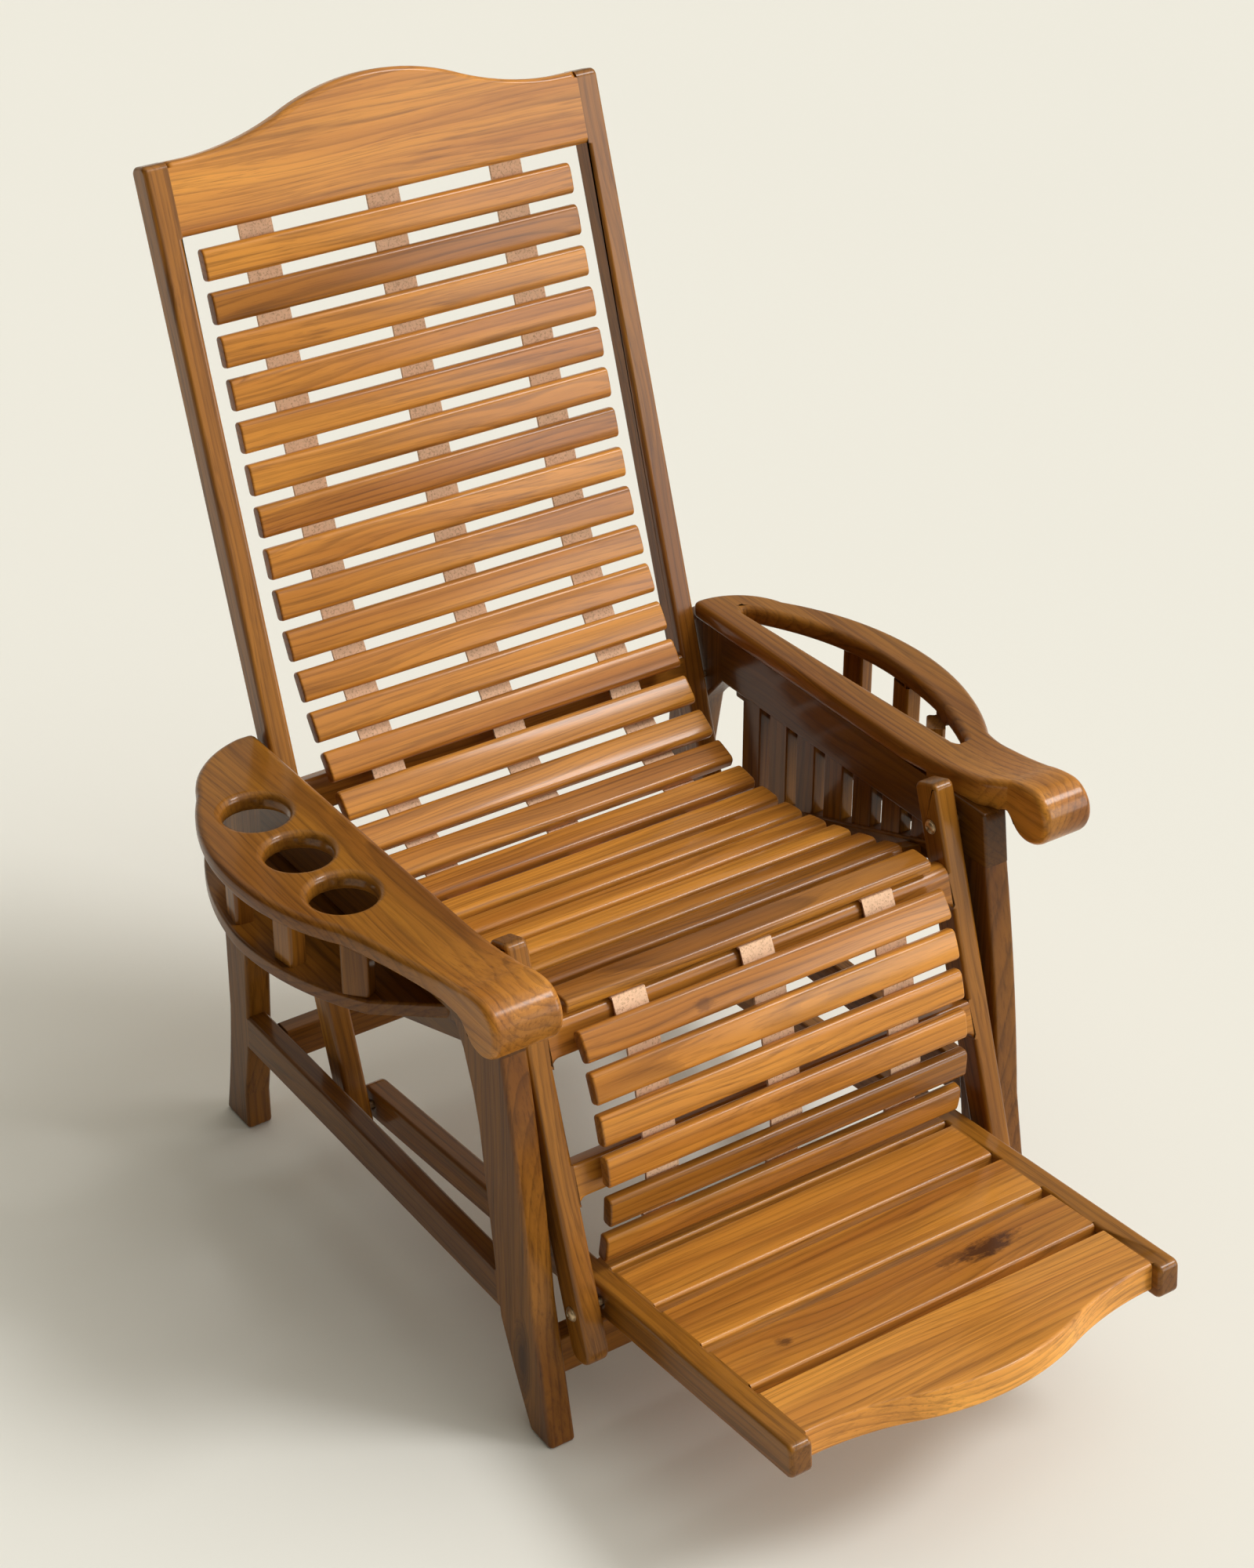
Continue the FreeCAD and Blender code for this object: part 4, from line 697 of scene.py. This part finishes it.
def mark_roundings(mesh, tree):
    """Gives a bevel weight to each sharp edge, except along the stretches where another piece meets it."""
    weight = mesh.edges.layers.float.new("bevel_weight_edge")
    sharp = [e for e in mesh.edges if e.is_manifold and abs(e.calc_face_angle(0)) > SHARP]
    for edge in sharp:
        touching, cuts = joint_stretches(edge.verts[0].co.copy(), edge.verts[1].co.copy(), tree)
        count = len(touching)
        for part, low, high in zip(cut_edge(edge, cuts), [0.0, *cuts], [*cuts, 1.0]):
            joined = touching[min(count - 1, int((low + high) / 2 * count))]
            part[weight] = 0.0 if joined else 1.0
            part.smooth = not joined


def grain_data(mesh, direction, seed, tones):
    """Writes where each point lies along and across the grain, measured from a pith of its own for each
    loose part, one tone for each loose part, and how squarely each face cuts the grain."""
    points, ends = points_and_edges(mesh)
    part = loose_part_numbers(len(points), ends)
    count = part.max() + 1
    axis = np.array(direction) / np.linalg.norm(direction)
    side = np.cross(axis, FACE_UP if abs(axis[0]) > LIES_ACROSS else ACROSS)
    side /= np.linalg.norm(side)
    below = np.cross(axis, side)
    total = np.zeros((count, 3))
    np.add.at(total, part, points)
    middle = total / np.bincount(part)[:, None]
    rank = np.empty(count, dtype=int)
    rank[np.argsort(-middle[:, 2], kind="stable")] = np.arange(count)
    dice = np.random.default_rng(seed)
    pith = np.column_stack([
        dice.uniform(*PITH_ALONG, count),
        dice.uniform(*PITH_ASIDE, count) * dice.choice([-1, 1], count),
        dice.uniform(*PITH_BELOW, count),
    ])[rank]
    if len(tones) == 2:
        tones = dice.uniform(*tones, count)
    tone = np.array(tones)[rank]
    local = points - middle[part]
    grain = np.column_stack([local @ axis, local @ side, local @ below]) + pith[part]
    facing = np.empty(len(mesh.polygons) * 3)
    mesh.polygons.foreach_get("normal", facing)
    cut = np.clip((np.abs(facing.reshape(-1, 3) @ axis) - END_START) / END_RUN, 0, 1)
    for name, kind, domain, key, values in (
            ("grain", "FLOAT_VECTOR", "POINT", "vector", grain),
            ("tone", "FLOAT", "POINT", "value", tone[part]),
            ("end", "FLOAT", "FACE", "value", cut)):
        layer = mesh.attributes.new(name, kind, domain)
        layer.data.foreach_set(key, values.astype(np.float32).ravel())


def finished(obj):
    """The object's mesh with its modifiers applied."""
    bpy.context.view_layer.update()
    shape = bpy.data.meshes.new_from_object(obj.evaluated_get(bpy.context.evaluated_depsgraph_get()))
    obj.modifiers.clear()
    obj.data = shape
    return shape


def wood_piece(node, direction, width, steps, seed, tones):
    """Stands for a CAD piece of wood: the same shape with its free edges rounded and a grain of its own."""
    mesh = merged(node)
    bmesh.ops.dissolve_limit(mesh, angle_limit=FLAT, verts=mesh.verts, edges=mesh.edges)
    for face in mesh.faces:
        face.smooth = True
    mark_roundings(mesh, neighbours(node))
    shape = bpy.data.meshes.new(f"{node}_wood")
    mesh.to_mesh(shape)
    mesh.free()
    obj = placed(f"{node}_wood", shape)
    bevel = obj.modifiers.new("rounded edges", "BEVEL")
    bevel.width = width
    bevel.segments = steps
    bevel.limit_method = "WEIGHT"
    bevel.use_clamp_overlap = False
    bevel.miter_outer = "MITER_ARC"
    even = obj.modifiers.new("even shading", "WEIGHTED_NORMAL")
    even.keep_sharp = True
    even.weight = LARGE_FACE_WEIGHT
    shape = finished(obj)
    grain_data(shape, direction, seed, tones)
    shape.materials.clear()
    shape.materials.append(material("polished_teak", teak))
    return stand_for(obj, node)


def dress(nodes, direction, width, first_seed, tones):
    """Dresses like pieces, each with its own grain and a tone within the given range from dark to pale."""
    steps = settings("chair_edges").steps
    return [wood_piece(node, direction, width, steps, first_seed + index, tones)
            for index, node in enumerate(nodes)]


def paint_nose_highlight(obj):
    """Paints the highlight on the rolled front end of an armrest as paler wood, by a smooth step over its
    length.
    """
    mesh = obj.data
    points = points_and_edges(mesh)[0]
    tone = np.empty(len(points))
    layer = mesh.attributes["tone"].data
    layer.foreach_get("value", tone)
    share = np.clip((NOSE_HIGHLIGHT_START - points[:, 1]) / NOSE_HIGHLIGHT_RUN, 0, 1)
    tone += NOSE_HIGHLIGHT_LIFT * share * share * (3 - 2 * share)
    layer.foreach_set("value", tone.astype(np.float32))


# Slats, straps and bolts


def closed_tube(rings):
    """Points and faces of a closed tube of rings with a face over each end."""
    count, around = rings.shape[:2]
    number = np.arange(count * around).reshape(count, around)
    after = np.roll(number, -1, axis=1)
    sides = np.stack([number[:-1], after[:-1], after[1:], number[1:]], axis=-1).reshape(-1, 4)
    return rings.reshape(-1, 3), [*sides.tolist(), number[0, ::-1].tolist(), number[-1].tolist()]


def mesh_of(name, shapes):
    """One mesh of several closed shapes, with their faces turned outward."""
    verts, faces = [], []
    start = 0
    for points, corners in shapes:
        verts.append(points)
        faces += [[start + i for i in face] for face in corners]
        start += len(points)
    mesh = bpy.data.meshes.new(name)
    mesh.from_pydata(np.concatenate(verts).tolist(), [], faces)
    fixed = bmesh.new()
    fixed.from_mesh(mesh)
    bmesh.ops.recalc_face_normals(fixed, faces=fixed.faces)
    for edge in fixed.edges:
        edge.smooth = edge.calc_face_angle(0) < SHARP
    for face in fixed.faces:
        face.smooth = True
    fixed.to_mesh(mesh)
    fixed.free()
    return mesh


def slat_section(a, b):
    """The outline of a slat's section and its outward directions: a rectangle of half width a and half
    thickness b, whose corners are quarter circles and whose front face sinks from its middle to its edges by
    the crown times the square of the distance, in shares of a."""
    outline, outward = [], []
    for corner, (sign_a, sign_b) in enumerate(((1, 1), (-1, 1), (-1, -1), (1, -1))):
        radius = SLAT_FRONT_EDGE if sign_b > 0 else SLAT_BACK_EDGE
        turn = math.pi / 2 * (corner + np.arange(EDGE_STEPS + 1) / EDGE_STEPS)
        round_way = np.column_stack([np.cos(turn), np.sin(turn)])
        outline.append((sign_a * (a - radius), sign_b * (b - radius)) + radius * round_way)
        outward.append(round_way)
        if sign_a == sign_b:
            flat = (1 - 2 * np.array(FLAT_SHARES)) * (a - radius) * sign_a
            outline.append(np.column_stack([flat, np.full(len(flat), sign_b * b)]))
            outward.append(np.tile((0.0, sign_b), (len(flat), 1)))
    outline = np.concatenate(outline)
    sink = SLAT_CROWN * (outline[:, 0] / a) ** 2
    outline[:, 1] -= sink * np.clip(outline[:, 1] / b, 0, 1)
    return outline, np.concatenate(outward)


def slat_surface(points):
    """One slat of the mat as a closed surface: its section carried along X and drawn in over both ends.

    With the section point p(v) and its outward direction n(v), the surface is
    x = s (h - r + r sin t), (y, z) = p(v) - r (1 - cos t) n(v) for the end's quarter circle t = 0..90
    degrees, where s = -1 or 1 is the end, h the half length and r the rounding of the end."""
    flat = points[:, 1:] - points[:, 1:].mean(axis=0)
    width = np.linalg.eigh(flat.T @ flat)[1][:, 1]
    face = np.array([-width[1], width[0]])
    face *= np.sign(face @ np.array(SITTER))
    along, up = points[:, 1:] @ width, points[:, 1:] @ face
    a, b = np.ptp(along) / 2, np.ptp(up) / 2
    middle = width * (along.min() + a) + face * (up.min() + b)
    outline, outward = slat_section(a, b)
    t = np.linspace(0, math.pi / 2, EDGE_STEPS + 1)
    short = SLAT_END_EDGE * (1 - np.sin(t))
    inset = SLAT_END_EDGE * (1 - np.cos(t))
    half = np.ptp(points[:, 0]) / 2
    x = (points[:, 0].min() + half) + np.concatenate([short[::-1] - half, half - short])
    inset = np.concatenate([inset[::-1], inset])
    ring = outline - inset[:, None, None] * outward
    yz = middle + ring[..., :1] * width + ring[..., 1:] * face
    x = np.broadcast_to(x[:, None, None], (*ring.shape[:2], 1))
    return closed_tube(np.concatenate([x, yz], axis=2))


def slats_piece(node, seed, tones):
    """Stands for the slats of one part of the mat."""
    mesh = mesh_of(f"{node}_wood", [slat_surface(points) for points in loose_parts(node)])
    grain_data(mesh, ACROSS, seed, tones)
    mesh.materials.append(material("polished_teak", teak))
    return stand_for(placed(f"{node}_wood", mesh), node)


def strap_bends(name, body, far, near):
    """The short stretches of strap that bend where the mat passes from one body to the next.

    Each is a band of constant width along the path p(u) from inside one strap's end, over the straight
    between the ends, to inside the other's end, with its faces at p(u) + h n(u) and p(u) - h n(u)."""
    (p, into), (q, out) = np.array(far), np.array(near)
    tuck = STRAP_TUCK * np.array(STRAP_TUCK_SHARES)[:, None]
    share = np.linspace(0, 1, STRAP_BEND_STEPS + 1)[:, None]
    path = np.concatenate([p + into * tuck, p + (q - p) * share, q + out * tuck[::-1]])
    tangent = np.gradient(path, axis=0)
    tangent /= np.linalg.norm(tangent, axis=1)[:, None]
    rise = np.column_stack([-tangent[:, 1], tangent[:, 0]]) * STRAP_BEND_HALF
    shapes = []
    for low, high in STRAP_SPANS:
        corners = [(low, path + rise), (high, path + rise), (high, path - rise), (low, path - rise)]
        shapes.append(closed_tube(np.stack([np.insert(yz, 0, x, axis=1) for x, yz in corners], axis=1)))
    mesh = mesh_of(name, shapes)
    mesh.materials.append(material("strap_leather", strap_leather))
    obj = placed(name, mesh)
    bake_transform(obj)
    return obj


def bolt_surface(points):
    """One pivot bolt as a closed surface turned about its axis along X: a domed head with a round socket
    over a thin washer, then the plain shank. A bolt without a head is a plain pin.

    With the profile p(u) = (d(u), r(u)) from the head's outer face inward, the surface is
    (x0 + s d, y0 + r cos v, z0 + r sin v) for v = 0..360 degrees, where s points from the head to the shank;
    the dome is d = D (1 - cos t), r = R sin t."""
    low, high = points.min(axis=0), points.max(axis=0)
    middle = (low + high) / 2
    radius = np.hypot(points[:, 1] - middle[1], points[:, 2] - middle[2])
    shank = radius.min()
    head = points[radius > shank * HEAD_FROM_SHARE]
    out, inward = low[0], 1
    profile = [(0.0, shank)]
    if len(head):
        if head[:, 0].min() - low[0] > WELD:
            out, inward = high[0], -1
        deep, wide = np.ptp(head[:, 0]), radius.max()
        rim = wide * HEAD_SHARE
        dome = deep * DOME_SHARE
        t = np.linspace(math.asin(SOCKET_SHARE), math.pi / 2, DOME_STEPS + 1)
        profile = [
            (SOCKET_DEPTH, rim * SOCKET_SHARE * SOCKET_FLOOR_SHARE),
            *zip(dome * (1 - np.cos(t)), rim * np.sin(t)),
            (dome, wide - WASHER_EASE),
            (dome + WASHER_EASE, wide),
            (deep, wide),
            (deep, shank),
        ]
    length = high[0] - low[0]
    profile += [(length - WASHER_EASE, shank), (length, shank - WASHER_EASE)]
    d, r = np.array(profile).T[..., None]
    v = np.linspace(0, math.tau, BOLT_FACETS, endpoint=False)
    x = np.broadcast_to(out + inward * d, (len(d), BOLT_FACETS))
    return closed_tube(np.stack([x, middle[1] + r * np.cos(v), middle[2] + r * np.sin(v)], axis=-1))


def bolt_piece(node):
    """Stands for the pivot bolt of one joint on one side."""
    mesh = mesh_of(f"{node}_bolt", [bolt_surface(points) for points in loose_parts(node)])
    mesh.materials.append(material("bolt_steel", bolt_steel))
    return stand_for(placed(f"{node}_bolt", mesh), node)


class CHAIR_OT_side_frames(bpy.types.Operator):
    """Legs, stretchers, rails and side slats of the two side frames"""

    bl_idname = "chair.side_frames"
    bl_label = "Side frames"

    def execute(self, context):
        edges = settings("chair_edges")
        # The legs, stretchers and side rails get darker tones that paint in their shade.
        dress(both("front_leg") + both("rear_leg"), UPRIGHT, edges.frame, first_seed=10, tones=LEG_TONES_AND_SHADE)
        dress(both("lower_stretcher"), ALONG, edges.eased, first_seed=20, tones=STRETCHER_TONES_AND_SHADE)
        dress(both("arm_rail") + both("seat_rail"), ALONG, edges.rail, first_seed=23, tones=SIDE_RAIL_TONES_AND_SHADE)
        dress(both("side_slats"), UPRIGHT, edges.slat, first_seed=30, tones=SIDE_SLAT_TONES)
        cross_rails = ["rear_cross_rail", "front_cross_rail"]
        dress(cross_rails, ACROSS, edges.eased, first_seed=40, tones=CROSS_RAIL_TONES)
        bearers = ["rear_seat_bearer", "front_seat_bearer"]
        dress(bearers, ACROSS, edges.slat, first_seed=43, tones=CROSS_RAIL_TONES)
        return {"FINISHED"}


class CHAIR_OT_armrests(bpy.types.Operator):
    """Armrests, their shelves and spindles"""

    bl_idname = "chair.armrests"
    bl_label = "Armrests"

    def execute(self, context):
        edges = settings("chair_edges")
        for armrest in dress(both("armrest"), ALONG, edges.arm, first_seed=50, tones=ARMREST_TONES):
            # Paint the highlight on each armrest's rolled front end.
            paint_nose_highlight(armrest)
        dress(both("arm_shelf"), ALONG, edges.rail, first_seed=55, tones=SHELF_TONES)
        dress(both("arm_spindles"), UPRIGHT, edges.eased, first_seed=60, tones=SPINDLE_TONES)
        return {"FINISHED"}


class CHAIR_OT_back_frame(bpy.types.Operator):
    """Stiles, crest and lower rail of the back"""

    bl_idname = "chair.back_frame"
    bl_label = "Back frame"

    def execute(self, context):
        edges = settings("chair_edges")
        dress(both("back_stile"), LEANING, edges.frame, first_seed=70, tones=BACK_STILE_TONES)
        dress(["crest_rail"], ACROSS, edges.crest, first_seed=75, tones=CREST_TONES)
        dress(["back_lower_rail"], ACROSS, edges.eased, first_seed=77, tones=BACK_RAIL_TONES)
        return {"FINISHED"}


class CHAIR_OT_calf_frame(bpy.types.Operator):
    """Stiles and rails of the calf frame"""

    bl_idname = "chair.calf_frame"
    bl_label = "Calf frame"

    def execute(self, context):
        edges = settings("chair_edges")
        dress(both("calf_stile"), LEANING, edges.frame, first_seed=80, tones=CALF_STILE_TONES)
        rails = ["calf_top_rail", "calf_middle_rail"]
        dress(rails, ACROSS, edges.rail, first_seed=85, tones=CALF_RAIL_TONES)
        return {"FINISHED"}


class CHAIR_OT_footrest(bpy.types.Operator):
    """Rails and boards of the footrest"""

    bl_idname = "chair.footrest"
    bl_label = "Footrest"

    def execute(self, context):
        edges = settings("chair_edges")
        dress(both("footrest_rail"), SLOPING, edges.frame, first_seed=90, tones=FOOTREST_RAIL_TONES)
        boards = ["footrest_board_1", "footrest_board_2", "footrest_board_3", "footrest_rear_bar"]
        dress(boards, ACROSS, edges.eased, first_seed=95, tones=BOARD_TONES)
        dress(["footrest_front_board"], ACROSS, edges.rail, first_seed=100, tones=FRONT_BOARD_TONES)
        return {"FINISHED"}


class CHAIR_OT_mat_slats(bpy.types.Operator):
    """Slats of the sling mat"""

    bl_idname = "chair.mat_slats"
    bl_label = "Mat slats"

    def execute(self, context):
        slats_piece("back_slats", seed=110, tones=BACK_TONES)
        slats_piece("seat_slats", seed=111, tones=SEAT_TONES)
        slats_piece("calf_slats", seed=112, tones=CALF_TONES)
        return {"FINISHED"}


class CHAIR_OT_mat_straps(bpy.types.Operator):
    """Straps of the sling mat"""

    bl_idname = "chair.mat_straps"
    bl_label = "Mat straps"

    def execute(self, context):
        for node in ("back_straps", "seat_straps", "calf_straps"):
            materials = frame["nodes"][node].data.materials
            materials.clear()
            materials.append(material("strap_leather", strap_leather))
        for join in STRAP_JOINS:
            strap_bends(*join)
        return {"FINISHED"}


class CHAIR_OT_pivots(bpy.types.Operator):
    """Pivot bolts of the back, the calf frame and the footrest"""

    bl_idname = "chair.pivots"
    bl_label = "Pivots"

    def execute(self, context):
        for name in ("back_pivot", "calf_pivot", "front_footrest_pivot", "rear_footrest_pivot"):
            for node in both(name):
                bolt_piece(node)
        return {"FINISHED"}


# Stage


def key_direction(look):
    height, turn = look.key_height, look.key_turn
    level = math.cos(height)
    return Vector((level * math.cos(turn), level * math.sin(turn), math.sin(height)))


def key_light(look):
    """One soft light from afar, so that the floor is lit evenly."""
    data = bpy.data.lights.new("key", "SUN")
    data.energy = look.key
    data.angle = look.key_softness
    placed("key", data).rotation_euler = (-key_direction(look)).to_track_quat("-Z", "Y").to_euler()


def facing_strength(tree, direction, toward, start, full, low, high):
    """A strength that goes by a smooth step from low to high, while the cosine of the angle between the ray
    and the given way goes from start to full."""
    near = tree.nodes.new("ShaderNodeVectorMath")
    near.operation = "DOT_PRODUCT"
    near.inputs[1].default_value = toward
    tree.links.new(direction, near.inputs[0])
    step = tree.nodes.new("ShaderNodeMapRange")
    step.interpolation_type = "SMOOTHSTEP"
    for key, value in (("From Min", start), ("From Max", full), ("To Min", low), ("To Max", high)):
        step.inputs[key].default_value = value
    tree.links.new(near.outputs["Value"], step.inputs["Value"])
    return step.outputs["Result"]


def studio_light(look):
    """Warm even light from all round that fades on one side, with a white glow round the key light and one
    low in front on the right."""
    world = bpy.data.worlds.new("studio")
    world.use_nodes = True
    tree = world.node_tree
    direction = tree.nodes.new("ShaderNodeTexCoord").outputs["Generated"]
    sky = tree.nodes["Background"]
    sky.inputs["Color"].default_value = (*look.sky_colour, 1)
    fading = facing_strength(tree, direction, Vector(DARK_TOWARD).normalized(), DARK_START, DARK_FULL,
                             look.sky, look.sky * DARK_SHARE)
    tree.links.new(fading, sky.inputs["Strength"])
    total = sky.outputs[0]
    for toward, inner, outer, strength in (
            (key_direction(look), SPREAD_INNER, SPREAD_OUTER, look.spread),
            (Vector(GLOW_TOWARD).normalized(), GLOW_INNER, GLOW_OUTER, look.glow)):
        glow = facing_strength(tree, direction, toward, math.cos(outer), math.cos(inner), 0.0, strength)
        shine = tree.nodes.new("ShaderNodeBackground")
        tree.links.new(glow, shine.inputs["Strength"])
        both_lights = tree.nodes.new("ShaderNodeAddShader")
        tree.links.new(total, both_lights.inputs[0])
        tree.links.new(shine.outputs[0], both_lights.inputs[1])
        total = both_lights.outputs[0]
    tree.links.new(total, tree.nodes["World Output"].inputs["Surface"])
    return world


class CHAIR_OT_stage(bpy.types.Operator):
    """Floor, lamps, surrounding light and camera"""

    bl_idname = "chair.stage"
    bl_label = "Stage"

    def execute(self, context):
        look = settings("chair_stage")
        scene = context.scene
        mesh = bpy.data.meshes.new("floor")
        corners = [(x * FLOOR_HALF, y * FLOOR_HALF, 0) for x, y in ((-1, -1), (1, -1), (1, 1), (-1, 1))]
        mesh.from_pydata(corners, [], [range(len(corners))])
        mesh.materials.append(material("pale_floor", floor_finish))
        placed("floor", mesh)
        key_light(look)
        scene.world = studio_light(look)
        data = bpy.data.cameras.new("camera")
        data.sensor_width = SENSOR_WIDTH
        data.lens = look.lens
        data.clip_end = SIGHT
        camera = placed("camera", data)
        camera.location = look.eye
        camera.rotation_euler = (look.tilt, 0, look.turn)
        scene.camera = camera
        scene.view_settings.view_transform = "Standard"
        return {"FINISHED"}


OPERATORS = (
    CHAIR_OT_stage,
    CHAIR_OT_side_frames,
    CHAIR_OT_armrests,
    CHAIR_OT_back_frame,
    CHAIR_OT_calf_frame,
    CHAIR_OT_footrest,
    CHAIR_OT_mat_slats,
    CHAIR_OT_mat_straps,
    CHAIR_OT_pivots,
)


class CHAIR_PT_sidebar(bpy.types.Panel):
    """Lists the chair's pieces and their settings"""

    bl_idname = "CHAIR_PT_sidebar"
    bl_label = "Planters chair"
    bl_space_type = "VIEW_3D"
    bl_region_type = "UI"
    bl_category = "Chair"

    def draw(self, context):
        column = self.layout.column()
        for operator in OPERATORS:
            column.operator(operator.bl_idname)
        for name, group in GROUPS.items():
            for prop in group.__annotations__:
                column.prop(getattr(context.scene, name), prop)


def register():
    for name, group in GROUPS.items():
        bpy.utils.register_class(group)
        setattr(bpy.types.Scene, name, PointerProperty(type=group))
    for operator in OPERATORS:
        bpy.utils.register_class(operator)
    bpy.utils.register_class(CHAIR_PT_sidebar)


def unregister():
    bpy.utils.unregister_class(CHAIR_PT_sidebar)
    for operator in reversed(OPERATORS):
        bpy.utils.unregister_class(operator)
    for name, group in reversed(GROUPS.items()):
        delattr(bpy.types.Scene, name)
        bpy.utils.unregister_class(group)


def main():
    register()
    for operator in OPERATORS:
        family, name = operator.bl_idname.split(".")
        getattr(getattr(bpy.ops, family), name)()


if __name__ == "__main__":
    main()
